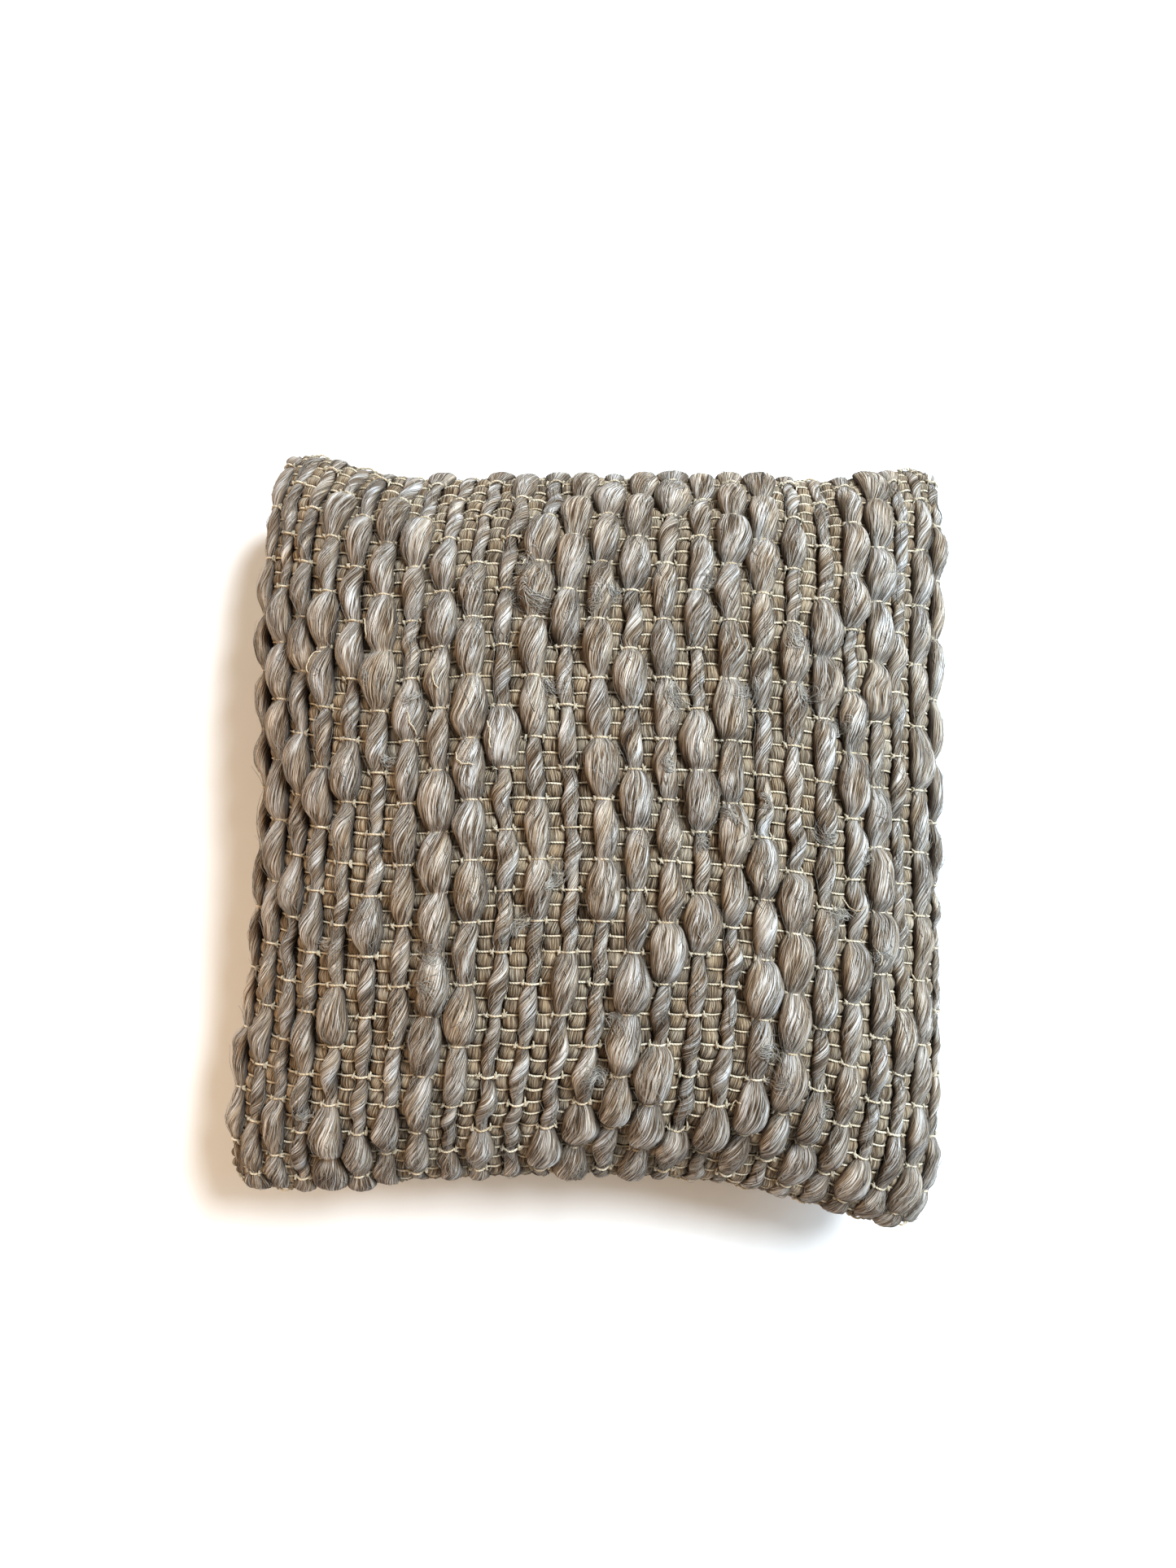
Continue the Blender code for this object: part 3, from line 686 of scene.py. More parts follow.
def blown_up(cover):
    """Runs the cloth simulation, removes the cover and returns where its points ended."""
    cloth = cover.modifiers.new("cloth", "CLOTH")
    cloth.point_cache.frame_end = SIM_FRAMES
    settings = cloth.settings
    settings.vertex_group_mass = "seam"
    settings.use_pressure = True
    settings.uniform_pressure_force = SIM_PRESSURE
    settings.mass = 0.5
    settings.tension_stiffness = 20
    settings.compression_stiffness = 20
    settings.bending_stiffness = 1.5
    settings.shrink_min = -0.012
    settings.effector_weights.gravity = 0
    scene = bpy.context.scene
    for number in range(1, SIM_FRAMES + 1):
        scene.frame_set(number)
    evaluated = cover.evaluated_get(bpy.context.evaluated_depsgraph_get())
    places = np.empty(len(cover.data.vertices) * 3, np.float32)
    evaluated.data.vertices.foreach_get("co", places)
    bpy.data.objects.remove(cover)
    scene.frame_set(1)
    return places.reshape(2, SIM_CELLS + 1, SIM_CELLS + 1, 3).astype(float)


def inflate_cover():
    """Blows the closed cover up with cloth pressure, its seam held, and keeps the moves."""
    s, t = cover_grid()
    away = smooth_step(np.minimum(1 - np.abs(s), 1 - np.abs(t)) / SIM_HELD_BAND)
    drawn, start = {}, {}
    for side in (FRONT, BACK):
        point, _, _, normal = surface_frame(s, t, side)
        drawn[side] = point
        inset = SIM_START_INSET * away
        start[side] = point - normal * (inset - filling_lumps(s, t, SEEDS[side]))[..., None]
    for side, result in zip((FRONT, BACK), blown_up(closed_cover(start))):
        move = result - drawn[side]
        size = np.linalg.norm(move, axis=-1, keepdims=True)
        move = move * np.minimum(1, SIM_CAP / np.maximum(size, 1e-9)) * away[..., None]
        if side == BACK:
            settled = drawn[BACK][..., 2] <= CLOTH + SIM_RESTING
            floor = np.where(settled, 0.0, CLOTH - drawn[BACK][..., 2])
            move[..., 2] = np.where(settled, 0.0, np.maximum(move[..., 2], floor))
        CLOTH_MOVES[side] = np.pad(move, [(1, 1), (1, 1), (0, 0)], mode="reflect", reflect_type="odd")


# --- Slub yarns ----------------------------------------------------------------------------------
def column_places(count):
    return -1 + (np.arange(count) + 0.5) * 2 / count


def row_places():
    return column_places(THREAD_ROWS)


def tie_rows(column):
    """Which thread rows tie down a slub column; neighbouring columns are half a step apart."""
    first = ROWS_PER_TIE // 2 * (column % 2)
    return np.arange(first, THREAD_ROWS, ROWS_PER_TIE)


def bead_kinds(count, rng):
    """Runs of thin, medium and fat beads, as hand-spun yarn has them."""
    kinds = ["thin", "medium", "fat"]
    chances = np.array([[0.52, 0.32, 0.16], [0.30, 0.40, 0.30], [0.20, 0.34, 0.46]])
    state = rng.integers(3)
    chosen = []
    for _ in range(count):
        state = rng.choice(3, p=chances[state])
        chosen.append(kinds[state])
    return chosen


def slub_profiles(t, rng):
    """Half width, bead width, fullness and sideways sway of every column at places t."""
    wide, bead, full, sway = [], [], [], []
    row_t = row_places()
    step = (row_t[1] - row_t[0]) * ROWS_PER_TIE
    for column in range(SLUB_COLUMNS):
        ties = row_t[tie_rows(column)]
        ties = np.concatenate([[ties[0] - step], ties, [ties[-1] + step]])
        count = len(ties) - 1
        width = np.array([rng.uniform(*SLUB_WIDTHS[kind]) for kind in bead_kinds(count, rng)])
        segment = np.clip(np.searchsorted(ties, t) - 1, 0, count - 1)
        share = (t - ties[segment]) / step
        lean = rng.uniform(-0.24, 0.24, count)[segment]
        slim = width < SLIM_WIDTH
        bulge = np.where(slim, rng.uniform(0.35, 1.0, count), rng.uniform(0.42, 0.74, count))[segment]
        leaning = np.clip(share + lean * share * (1 - share) * 2, 0, 1)
        fullness = np.sin(math.pi * leaning) ** bulge
        thinner = np.minimum(np.append(width[0], width), np.append(width, width[-1]))
        neck = thinner * rng.uniform(0.19, 0.27, count + 1)
        neck = np.clip(neck, SLUB_HALF_WIDTH_MIN, 0.0046)
        neck_here = lerp(neck[segment], neck[segment + 1], smooth_step(share))
        half = np.maximum(width[segment] / 2, neck_here * 1.08)
        lumpy = 1 + wander(rng, len(t), 13) * np.where(slim, 0.16, 0.10)[segment] * fullness
        wide.append(lerp(neck_here, half * lumpy, fullness))
        bead.append(smoothed(width[segment], 9))
        full.append(fullness)
        bend = rng.normal(0, 1, count)[segment] * np.sin(math.pi * share) ** 2
        curl = np.where(slim, rng.uniform(0.3, 1, count), 0)[segment] * np.sin(2 * math.pi * share)
        unruly = wander(rng, len(t), 15) * fullness
        sway.append(bend * 0.0018 + curl * 0.0016 + unruly * 0.0013)
    return np.array(wide), np.array(bead), np.array(full), np.array(sway)


def make_room(wide, sway, full, pitch):
    """Moves neighbouring beads apart, and squeezes them where they still don't fit."""
    gap = 0.0002
    for _ in range(30):
        excess = wide[:-1] + wide[1:] + gap - (pitch[1:-1] + sway[1:] - sway[:-1])
        push = np.maximum(excess, 0) * 0.25
        sway[:-1] -= push
        sway[1:] += push
        sway[:] = smoothed(sway, 5) * (1 - 0.25 * (1 - full))
        sway[:] = np.clip(sway, -SLUB_SWAY_MAX, SLUB_SWAY_MAX)
    for _ in range(3):
        excess = wide[:-1] + wide[1:] + gap - (pitch[1:-1] + sway[1:] - sway[:-1])
        squeeze = np.maximum(excess, 0) / 2
        wide[:-1] -= squeeze
        wide[1:] -= squeeze
    wide[0] = np.minimum(wide[0], pitch[0] + sway[0] - gap)
    wide[-1] = np.minimum(wide[-1], pitch[-1] - sway[-1] - gap)
    wide[:] = smoothed(np.maximum(wide, SLUB_HALF_WIDTH_MIN), 5)


def tuck(t):
    """How far a yarn keeps its thickness: it thins where it is sewn into the seam."""
    edge = 0.065
    return 0.58 + 0.42 * smooth_step((1 - np.abs(t)) / edge)


def pressed_flat(s, t):
    """How far a bead keeps its height: the pull of the seams flattens the outermost ones."""
    near_end = 1 - smooth_step((1 - np.abs(t)) / 0.22)
    near_side = smooth_step((np.abs(s) - 0.78) / 0.2)
    return (1 - 0.45 * near_end) * (1 - 0.22 * near_side)


def corner_pinch(s, t):
    """How far the outermost slubs keep their thickness: they thin right out into the corner seams."""
    near_corner = smooth_step((np.abs(t) - 0.95) / 0.045) * smooth_step((np.abs(s) - 0.86) / 0.08)
    return 1 - 0.8 * near_corner


def strand_relief(angle, twist, rope, rng):
    """Height over a slub's surface: creases between strands, and two plies where it is a rope."""
    relief = np.zeros_like(angle)
    for strands, depth in ((3, 0.00042), (7, 0.00028), (15, 0.00018)):
        phase = rng.uniform(0, math.pi)
        drift = wander(rng, angle.shape[0], 31) * 2.2
        strength = 1 + wander(rng, angle.shape[0], 21) * 1.2
        ridge = np.abs(np.cos((angle + twist[:, None]) * strands / 2 + phase + drift[:, None]))
        relief += depth * strength[:, None] * (ridge**0.7 - 0.7)
    plies = np.abs(np.cos(angle + twist[:, None])) ** 0.8
    return relief + rope[:, None] * 0.0014 * (plies - 0.62)


def resting(points, side):
    """Presses whatever of the back would reach through the floor flat against it."""
    if side == FRONT:
        return points
    low, soft = 0.0004, 0.002
    z = points[..., 2]
    pressed = low + soft * np.exp(np.minimum(z - low - soft, 0) / soft)
    points[..., 2] = np.where(z < low + soft, pressed, z)
    return points


def twisting(radius, length, rng):
    """The angle the fibres have turned through, and the way round the yarn that makes."""
    rate = 27 * (0.0105 / np.maximum(radius, 0.0045)) ** 2.6
    rate = rate * (1 + wander(rng, len(length), 25) * 0.9)
    turn = rate * np.gradient(length)
    return np.cumsum(turn) + rng.uniform(0, 2 * math.pi), np.cumsum(turn * radius)


def slub_yarn(side, column, t, profile, around, rng):
    """One slub: surface, texture coordinates, painted shade, middle line and lengths along it."""
    wide, bead, full, sway = profile
    s = column_places(SLUB_COLUMNS)[column]
    point, _, along, normal = surface_frame(np.full(len(t), s), t, side)
    sideways = unit(np.cross(along, normal))
    length = lengths_along(point)
    pinch = corner_pinch(s, t)
    half_wide = wide * tuck(t) * pinch
    half_high = np.minimum(SLUB_FLATNESS * 2 * half_wide, SLUB_HALF_HEIGHT_MAX)
    half_high = half_high * pressed_flat(s, t)
    half_high = lerp(np.minimum(NECK_HALF_HEIGHT, half_high), half_high, full)
    radius = bead / 2
    twist, turned = twisting(radius, length, rng)
    rope = smooth_step((ROPE_WIDTH - bead) / 0.004) * (0.35 + 0.65 * full) * tuck(t)
    wobble = 0.0009 * rope * pinch
    lift = SLUB_BASE * tuck(t) * pinch + half_high + wobble * np.cos(twist)
    shift = side * sway * pinch + wobble * np.sin(twist)
    centre = point + normal * lift[:, None] + sideways * shift[:, None]
    angle = np.broadcast_to(ring_angles(around)[:-1], (len(t), around))
    relief = strand_relief(angle, twist, rope, rng) * (0.5 + 0.5 * full)[:, None]
    relief *= np.minimum(1, half_wide / 0.006)[:, None]
    half_wide, half_high = half_wide[:, None] + relief, half_high[:, None] + relief
    offset = column * 0.83 + (side == BACK) * BACK_TEXTURE_SHIFT
    points, uv = sweep(
        centre, sideways, normal, half_wide, half_high, around, length, turned, offset, radius
    )
    # Painted shade: darker on the yarn's flanks and underside, and in the creases between its strands.
    painted_shade = smooth_step((np.sin(angle) + 0.30) / 1.15) * smooth_step((relief + 0.0013) / 0.0020)
    return resting(points, side), uv, painted_shade, centre, length


def slub_yarns(side, around, rings):
    """The fat yarns, one piece each. Returns each yarn's surface, middle line and lengths."""
    rng = np.random.default_rng(SEEDS[side])
    t = np.linspace(-0.998, 0.998, rings)
    s = column_places(SLUB_COLUMNS)
    profiles = slub_profiles(t, rng)
    wide, _, full, sway = profiles
    grid_s = np.concatenate([[-1], s, [1]])
    point, _, _, normal = surface_frame(grid_s[:, None], t[None, :], side)
    lifted = point + normal * 0.007
    pitch = np.linalg.norm(np.diff(lifted, axis=0), axis=-1)
    make_room(wide, sway, full, pitch)
    yarns = []
    for column, profile in enumerate(zip(*profiles)):
        points, uv, painted_shade, centre, length = slub_yarn(side, column, t, profile, around, rng)
        vertices, faces, corner_uv = tube_parts(points, uv)
        name = f"{SIDE_NAMES[side]}_slub_yarn_{column + 1:02d}"
        piece = new_piece(name, vertices, faces, WOOL_SLUB, uv=corner_uv, painted_shade=painted_shade)
        yarns.append((points, centre, length))
    return yarns


def loose_hairs(side, yarns, per_yarn, sides=3, rings=10):
    """Stray fibres that lift off the slubs and cross them at odd angles."""
    rng = np.random.default_rng(SEEDS[side] + 9)
    share = np.linspace(0, 1, rings)
    tubes = []
    for points, centre, length in yarns:
        count, around = points.shape[:2]
        ring_length = length[-1] / (count - 1)
        for _ in range(per_yarn):
            reach = rng.uniform(*HAIR_LENGTH) / ring_length
            ring = rng.uniform(2, count - 3 - reach) + share * reach
            step = around / 2 + rng.normal(0, around * 0.13)
            step = step - rng.normal(1.0, 1.4) * reach * 0.11 * share * around / 40
            step = step + rng.normal(0, around * 0.035) * np.sin(math.pi * share * rng.uniform(1, 2.5))
            base, middle = bilinear(points, ring, step), nearby(centre, ring)
            outward = unit(base - middle)
            free_end = rng.uniform(0, 0.0032) * rng.integers(0, 2)
            lift = 0.0002 + rng.uniform(0.0002, 0.0012) * np.sin(math.pi * share) + free_end * share**3
            line = base + outward * lift[:, None]
            radius = rng.uniform(*HAIR_RADIUS) * (1.1 - share * 0.6)
            tubes.append(fibre_tube(line, outward, radius, sides, share * 0.02, rng.uniform(0, 9)))
    tubes = [(resting(points, side), uv) for points, uv in tubes]
    piece = piece_of_tubes(f"{SIDE_NAMES[side]}_loose_hairs", tubes, WOOL_HAIR)


def weave_height(s, t, side, yarns):
    """Place on the inner face, its normal, and how high the weave's top is there."""
    point, _, _, normal = surface_frame(s, t, side)
    rings, around = yarns[0][0].shape[:2]
    column = np.clip(((s + 1) / 2 * SLUB_COLUMNS).astype(int), 0, SLUB_COLUMNS - 1)
    ring = np.clip(np.round((t + 1) / 2 * (rings - 1)).astype(int), 0, rings - 1)
    middle = np.array([yarns[c][1][r] for c, r in zip(column, ring)])
    sideways = np.array([yarns[c][0][r, around // 4] for c, r in zip(column, ring)]) - middle
    upwards = np.array([yarns[c][0][r, around // 2] for c, r in zip(column, ring)]) - middle
    half_wide = np.linalg.norm(sideways, axis=1)
    aside = np.einsum("ij,ij->i", point - middle, sideways) / half_wide**2
    arch = np.sqrt(np.maximum(1 - aside**2, 0)) * np.linalg.norm(upwards, axis=1)
    over_slub = np.einsum("ij,ij->i", middle - point, normal) + arch
    over_ground = GROUND_BASE + 2 * GROUND_HALF_HEIGHT
    return point, normal, np.where(np.abs(aside) < 1, np.maximum(over_slub, over_ground), over_ground)


def curling_line(rng, start, heading, reach, curl, points):
    """A wandering line over the cloth, as cloth coordinates."""
    share = np.linspace(0, 1, points)
    turn = heading + curl * share + wander(rng, points, 7) * 0.8
    step = reach / points
    s = start[0] + np.cumsum(np.cos(turn)) * step / HALF_ARC
    t = start[1] + np.cumsum(np.sin(turn)) * step / HALF_ARC
    return np.clip(s, -0.96, 0.96), np.clip(t, -0.96, 0.96)


def laid_on_weave(side, yarns, s, t, lift, radius, sides, offset):
    """A thin tube that follows the top of the weave."""
    point, normal, height = weave_height(s, t, side, yarns)
    line = point + normal * (smoothed(height, 3) + lift)[:, None]
    return fibre_tube(line, normal, radius, sides, lengths_along(line), offset, uv_radius=0.0006)


def wool_wisps(side, yarns, count, fibres=26, points=24):
    """Curled wisps that have worked loose from the yarns and lie on the weave."""
    rng = np.random.default_rng(SEEDS[side] + 11)
    tubes = []
    for _ in range(count):
        start = rng.uniform(-0.72, 0.72, 2)
        heading = rng.uniform(0, 2 * math.pi)
        reach = rng.uniform(*WISP_LENGTH)
        curl = rng.uniform(1.5, 5.0) * rng.choice([-1, 1])
        for _ in range(fibres):
            near = start + rng.normal(0, 0.0034, 2)
            turned = heading + rng.normal(0, 0.22)
            own_reach = reach * rng.uniform(0.5, 1.1)
            own_curl = curl * rng.uniform(0.7, 1.3)
            s, t = curling_line(rng, near, turned, own_reach, own_curl, points)
            share = np.linspace(0, 1, points)
            lift = 0.0003 + rng.uniform(0, 0.0014) * np.sin(math.pi * share) ** 0.5
            radius = rng.uniform(*WISP_RADIUS) * (1.1 - 0.7 * share)
            tubes.append(laid_on_weave(side, yarns, s, t, lift, radius, 3, rng.uniform(0, 9)))
    piece = piece_of_tubes(f"{SIDE_NAMES[side]}_wool_wisps", tubes, WOOL_HAIR)


def thread_tails(side, yarns, count, points=30):
    """Loose ends of the cream thread."""
    rng = np.random.default_rng(SEEDS[side] + 12)
    tubes = []
    for _ in range(count):
        start, heading = rng.uniform(-0.75, 0.75, 2), rng.uniform(0, 2 * math.pi)
        reach, curl = rng.uniform(*TAIL_LENGTH), rng.normal(0, 1.6)
        s, t = curling_line(rng, start, heading, reach, curl, points)
        lift = np.linspace(0.0002, rng.uniform(0.0005, 0.0025), points)
        radius = np.full(points, THREAD_RADIUS * 0.6)
        tubes.append(laid_on_weave(side, yarns, s, t, lift, radius, 5, rng.uniform(0, 9)))
    piece = piece_of_tubes(f"{SIDE_NAMES[side]}_thread_tails", tubes, COTTON)


def nearby(values, place):
    """Values of a row at fractional places."""
    low = np.clip(place.astype(int), 0, len(values) - 2)
    return lerp(values[low], values[low + 1], (place - low)[:, None])


def bilinear(points, ring, step):
    """Places on a tube at fractional rings and steps round it."""
    around = points.shape[1]
    low = np.floor(step).astype(int)
    f = (step - low)[:, None]
    row = np.clip(ring.astype(int), 0, len(points) - 2)
    g = (ring - row)[:, None]
    near = lerp(points[row, low % around], points[row, (low + 1) % around], f)
    far = lerp(points[row + 1, low % around], points[row + 1, (low + 1) % around], f)
    return lerp(near, far, g)


# --- Ground yarns between the slubs --------------------------------------------------------------
BARREL_STOPS = np.array([0.0, 0.07, 0.18, 0.35, 0.5, 0.65, 0.82, 0.93])


def barrel_places():
    """Places along a ground yarn, the barrel each lies in and its share of the way through."""
    edges = np.concatenate([[-1.0], row_places(), [1.0]])
    steps = np.diff(edges)
    t = (edges[:-1, None] + steps[:, None] * BARREL_STOPS[None, :]).ravel()[1:]
    t = np.append(t, 0.999)
    cell = np.clip(np.searchsorted(edges, t, side="right") - 1, 0, len(steps) - 1)
    return t, cell, (t - edges[cell]) / steps[cell]


def ground_yarns(side, around):
    """The thinner yarns, a barrel between each two thread rows, one piece each."""
    rng = np.random.default_rng(SEEDS[side] + 1)
    t, cell, share = barrel_places()
    barrels = THREAD_ROWS + 1
    columns = column_places(SLUB_COLUMNS)
    between = (columns[:-1] + columns[1:]) / 2
    beside_seam = 1 - SEAM_YARN_INSET
    for index, s in enumerate([-beside_seam, *between, beside_seam]):
        point, _, along, normal = surface_frame(np.full(len(t), s), t, side)
        sideways = unit(np.cross(along, normal))
        barrel = np.sin(math.pi * share) ** 0.6
        plump = rng.uniform(0.90, 1.08, barrels)[cell]
        shift = rng.uniform(-0.0004, 0.0004, barrels)[cell] * barrel
        size = SEAM_YARN_SHARE if abs(s) == beside_seam else 1.0
        half_wide = GROUND_HALF_WIDTH * size * lerp(0.78, 1.0, barrel) * plump * tuck(t)
        half_high = GROUND_HALF_HEIGHT * lerp(0.52, 1.0, barrel) * plump * tuck(t)
        centre = point + normal * (GROUND_BASE * tuck(t) + half_high)[:, None] + sideways * shift[:, None]
        length = lengths_along(point)
        slant = (rng.uniform(-0.5, 0.9, barrels)[cell] * share + cell * 2.7) * 0.005
        angle = np.broadcast_to(ring_angles(around)[:-1], (len(t), around))
        relief = 0.00022 * np.cos(angle * 7 + (cell * 1.9 % 6.28)[:, None]) * barrel[:, None]
        half_wide, half_high = half_wide[:, None] + relief, half_high[:, None] + relief
        offset = index * 0.71 + 57 + (side == BACK) * BACK_TEXTURE_SHIFT
        points, uv = sweep(
            centre, sideways, normal, half_wide, half_high, around, length, slant, offset
        )
        points = resting(points, side)
        # Painted shade: darker on the yarn's flanks and underside, and towards the pinches between barrels
        # where the threads cross.
        painted_shade = smooth_step((np.sin(angle) + 0.1) / 1.0) * (0.35 + 0.65 * smooth_step(barrel / 0.8))[:, None]
        vertices, faces, corner_uv = tube_parts(points, uv)
        name = f"{SIDE_NAMES[side]}_ground_yarn_{index + 1:02d}"
        piece = new_piece(name, vertices, faces, WOOL_GROUND, uv=corner_uv, painted_shade=painted_shade)


# --- Cotton threads ------------------------------------------------------------------------------
def thread_heights(x, columns_x, tied):
    """Height of a thread over the inner face as it crosses slub necks and ground yarns."""
    pitch = columns_x[1] - columns_x[0]
    height = np.full(len(x), 0.0022)
    for column, place in enumerate(columns_x):
        ground = (x - place - pitch / 2) / (GROUND_HALF_WIDTH * 0.92)
        inside = np.abs(ground) < 1
        rise = GROUND_HALF_HEIGHT * 0.72
        top = GROUND_BASE + rise + rise * np.sqrt(np.maximum(1 - ground**2, 0))
        height = np.where(inside, np.maximum(height, top), height)
        neck = (x - place) / NECK_HALF_WIDTH
        if tied[column]:
            top = SLUB_BASE + NECK_HALF_HEIGHT + NECK_HALF_HEIGHT * np.sqrt(np.maximum(1 - neck**2, 0))
            height = np.where(np.abs(neck) < 1, np.maximum(height, top + 0.0002), height)
        else:
            height = np.where(np.abs(neck) < 0.9, 0.0014, height)
    return height + THREAD_RADIUS * 0.7


def thread_tube(point, along, normal, height, shift, around, radius, length, offset):
    centre = point + normal * height[:, None] + along * shift[:, None]
    heading = unit(np.gradient(centre, axis=0))
    upwards = unit(np.cross(heading, np.cross(normal, heading)))
    sideways = unit(np.cross(heading, upwards))
    return sweep(centre, sideways, upwards, radius, radius, around, length, 0.0, offset, THREAD_RADIUS)


def cross_threads(side, around, per_column):
    """The cream threads that run across: over every ground yarn, under the slubs between their ties,
    and in every second row over the necks of every second slub."""
    rng = np.random.default_rng(SEEDS[side] + 2)
    s = np.linspace(-0.985, 0.985, SLUB_COLUMNS * per_column)
    columns_x = column_places(SLUB_COLUMNS) * HALF_ARC
    tubes = []
    for row, t in enumerate(row_places()):
        tied = [row in tie_rows(column) for column in range(SLUB_COLUMNS)]
        point, _, along, normal = surface_frame(s, np.full(len(s), t), side)
        height = smoothed(thread_heights(s * HALF_ARC, columns_x, tied), 3)
        shift = wander(rng, len(s), 15) * 0.0009
        radius = THREAD_RADIUS * (1 + wander(rng, len(s), 9) * 0.22)
        length = lengths_along(point)
        height = height * tuck(t)
        points, uv = thread_tube(point, along, normal, height, shift, around, radius, length, row * 0.57)
        tubes.append((resting(points, side), uv))
    for first in range(0, THREAD_ROWS, ROWS_PER_PIECE):
        name = f"{SIDE_NAMES[side]}_cross_threads_{first // ROWS_PER_PIECE + 1}"
        piece = piece_of_tubes(name, tubes[first : first + ROWS_PER_PIECE], COTTON)


def edge_threads(side, around, rings):
    """The cream threads that run along each side of every slub yarn, rising at its ties."""
    rng = np.random.default_rng(SEEDS[side] + 3)
    t = np.linspace(-0.99, 0.99, rings)
    columns = column_places(SLUB_COLUMNS)
    half_pitch = (columns[1] - columns[0]) / 2
    row_t = row_places()
    tubes = []
    for column, s in enumerate(columns):
        near_tie = np.min(np.abs(t[:, None] - row_t[tie_rows(column)][None, :]), axis=1)
        rise = np.exp(-((near_tie / 0.010) ** 2))
        for hand in (-1, 1):
            place = np.clip(s + hand * half_pitch * (0.50 + 0.05 * rise), -0.99, 0.99)
            place = place + wander(rng, rings, 9) * 0.0022
            point, across, _, normal = surface_frame(place, t, side)
            height = 0.0026 + 0.0034 * rise + wander(rng, rings, 7) * 0.0003
            height = height * tuck(t)
            radius = np.full(rings, THREAD_RADIUS * 0.85)
            length, offset = lengths_along(point), column * 0.37 + 90
            points, uv = thread_tube(
                point, across, normal, height, np.zeros(rings), around, radius, length, offset
            )
            tubes.append((resting(points, side), uv))
    half = len(tubes) // 2
    for index, chosen in enumerate((tubes[:half], tubes[half:])):
        piece = piece_of_tubes(f"{SIDE_NAMES[side]}_edge_threads_{index + 1}", chosen, COTTON)


def knots(side):
    """The small nubs where a tie passes between slub and ground."""
    rng = np.random.default_rng(SEEDS[side] + 4)
    columns = column_places(SLUB_COLUMNS)
    half_pitch = (columns[1] - columns[0]) / 2
    row_t = row_places()
    around, rings = 6, 7
    tubes = []
    for column, s in enumerate(columns):
        for t in row_t[tie_rows(column)]:
            for hand in (-1, 1):
                place = np.clip(s + hand * half_pitch * 0.55, -0.985, 0.985)
                point, across, along, normal = surface_frame(np.array([place]), np.array([t]), side)
                for arm in (-1, 1):
                    lean = arm * rng.uniform(0.2, 1.0) + rng.uniform(-0.3, 0.3)
                    reach = rng.uniform(*KNOT_HALF_LENGTH)
                    line = np.linspace(-1, 1, rings)
                    heading = along[0] * math.cos(lean) + across[0] * math.sin(lean)
                    arch = (0.0060 + 0.0011 * (1 - line**2)) * tuck(t)
                    centre = point[0] + heading * (line * reach)[:, None] + normal[0] * arch[:, None]
                    radius = rng.uniform(*KNOT_RADIUS) * (1 - 0.45 * line**2)
                    sideways = np.repeat(np.cross(heading, normal[0])[None], rings, axis=0)
                    upwards = np.repeat(normal, rings, axis=0)
                    length = (line + 1) * reach
                    offset = rng.uniform(0, 9)
                    points, uv = sweep(
                        centre, sideways, upwards, radius, radius, around, length, offset=offset
                    )
                    tubes.append((resting(points, side), uv))
    piece = piece_of_tubes(f"{SIDE_NAMES[side]}_tie_knots", tubes, COTTON)


# --- Base cloth ----------------------------------------------------------------------------------
def sheet_shell(name, side, low, high, cells, mat, place=surface_frame):
    """A closed sheet between two heights over a panel's inner face."""
    line = np.sin(np.linspace(-1, 1, cells + 1) * math.pi / 2) * 0.35 + np.linspace(-1, 1, cells + 1) * 0.65
    s, t = np.meshgrid(line, line, indexing="ij")
    point, _, _, normal = place(s, t, side)
    layers = [point + normal * low, point + normal * high]
    count = cells + 1
    quads, rim = grid_quads(count, count)
    after = np.roll(rim, -1)
    total = count * count
    top, bottom = quads + total, quads[:, ::-1]
    wall = np.stack([rim, after, after + total, rim + total], axis=1)
    faces = np.concatenate([bottom, top, wall])
    if side == BACK:
        faces = faces[:, ::-1]
    vertices = np.concatenate([layer.reshape(-1, 3) for layer in layers])
    flat = np.stack([s * 0.24, t * 0.25], axis=-1).reshape(-1, 2)
    uv = np.concatenate([flat, flat])[faces.reshape(-1)]
    return new_piece(name, vertices, [faces], mat, uv=uv)


def base_cloths():
    for side in (FRONT, BACK):
        name = SIDE_NAMES[side]
        cloth = sheet_shell(f"{name}_base_cloth", side, *BASE_CLOTH_LAYER, 96, BASE_CLOTH)
        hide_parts(f"{name}_panel")


def zip_end_facings():
    """Folded strips that close the seam's mouth just beyond each end of the zip."""
    seam_s = np.linspace(-1, 1, 400)
    for end, (low_x, high_x) in FACING_X.items():
        x = np.linspace(low_x, high_x, 24)
        depth = np.linspace(0, 1, 9)
        for side in (FRONT, BACK):
            s = np.interp(x, surface(seam_s, 0.999, side)[:, 0], seam_s)
            edge = surface(s, 0.999, side)
            rise = (edge[:, 2] - SEAM_HEIGHT)[:, None] * (1 - depth[None, :] ** 1.5)
            points = np.repeat(edge[:, None], len(depth), axis=1)
            points[..., 1] -= 0.0040 * depth[None, :]
            points[..., 2] = SEAM_HEIGHT + rise
            outer = points + np.array([0, -0.0002, -0.0009 * side])
            piece = closed_strip(f"zip_facing_{end}_{SIDE_NAMES[side]}", points, outer, side, BASE_CLOTH)


def closed_strip(name, face, behind, side, mat):
    """A thin closed body between two grids of points."""
    rows, columns = face.shape[:2]
    total = rows * columns
    quads, rim = grid_quads(rows, columns)
    after = np.roll(rim, -1)
    wall = np.stack([rim, rim + total, after + total, after], axis=1)
    faces = np.concatenate([quads, quads[:, ::-1] + total, wall[:, ::-1]])
    faces = faces if side == BACK else faces[:, ::-1]
    vertices = np.concatenate([face.reshape(-1, 3), behind.reshape(-1, 3)])
    uv = vertices[faces.reshape(-1)][:, :2]
    return new_piece(name, vertices, [faces], mat, uv=uv)


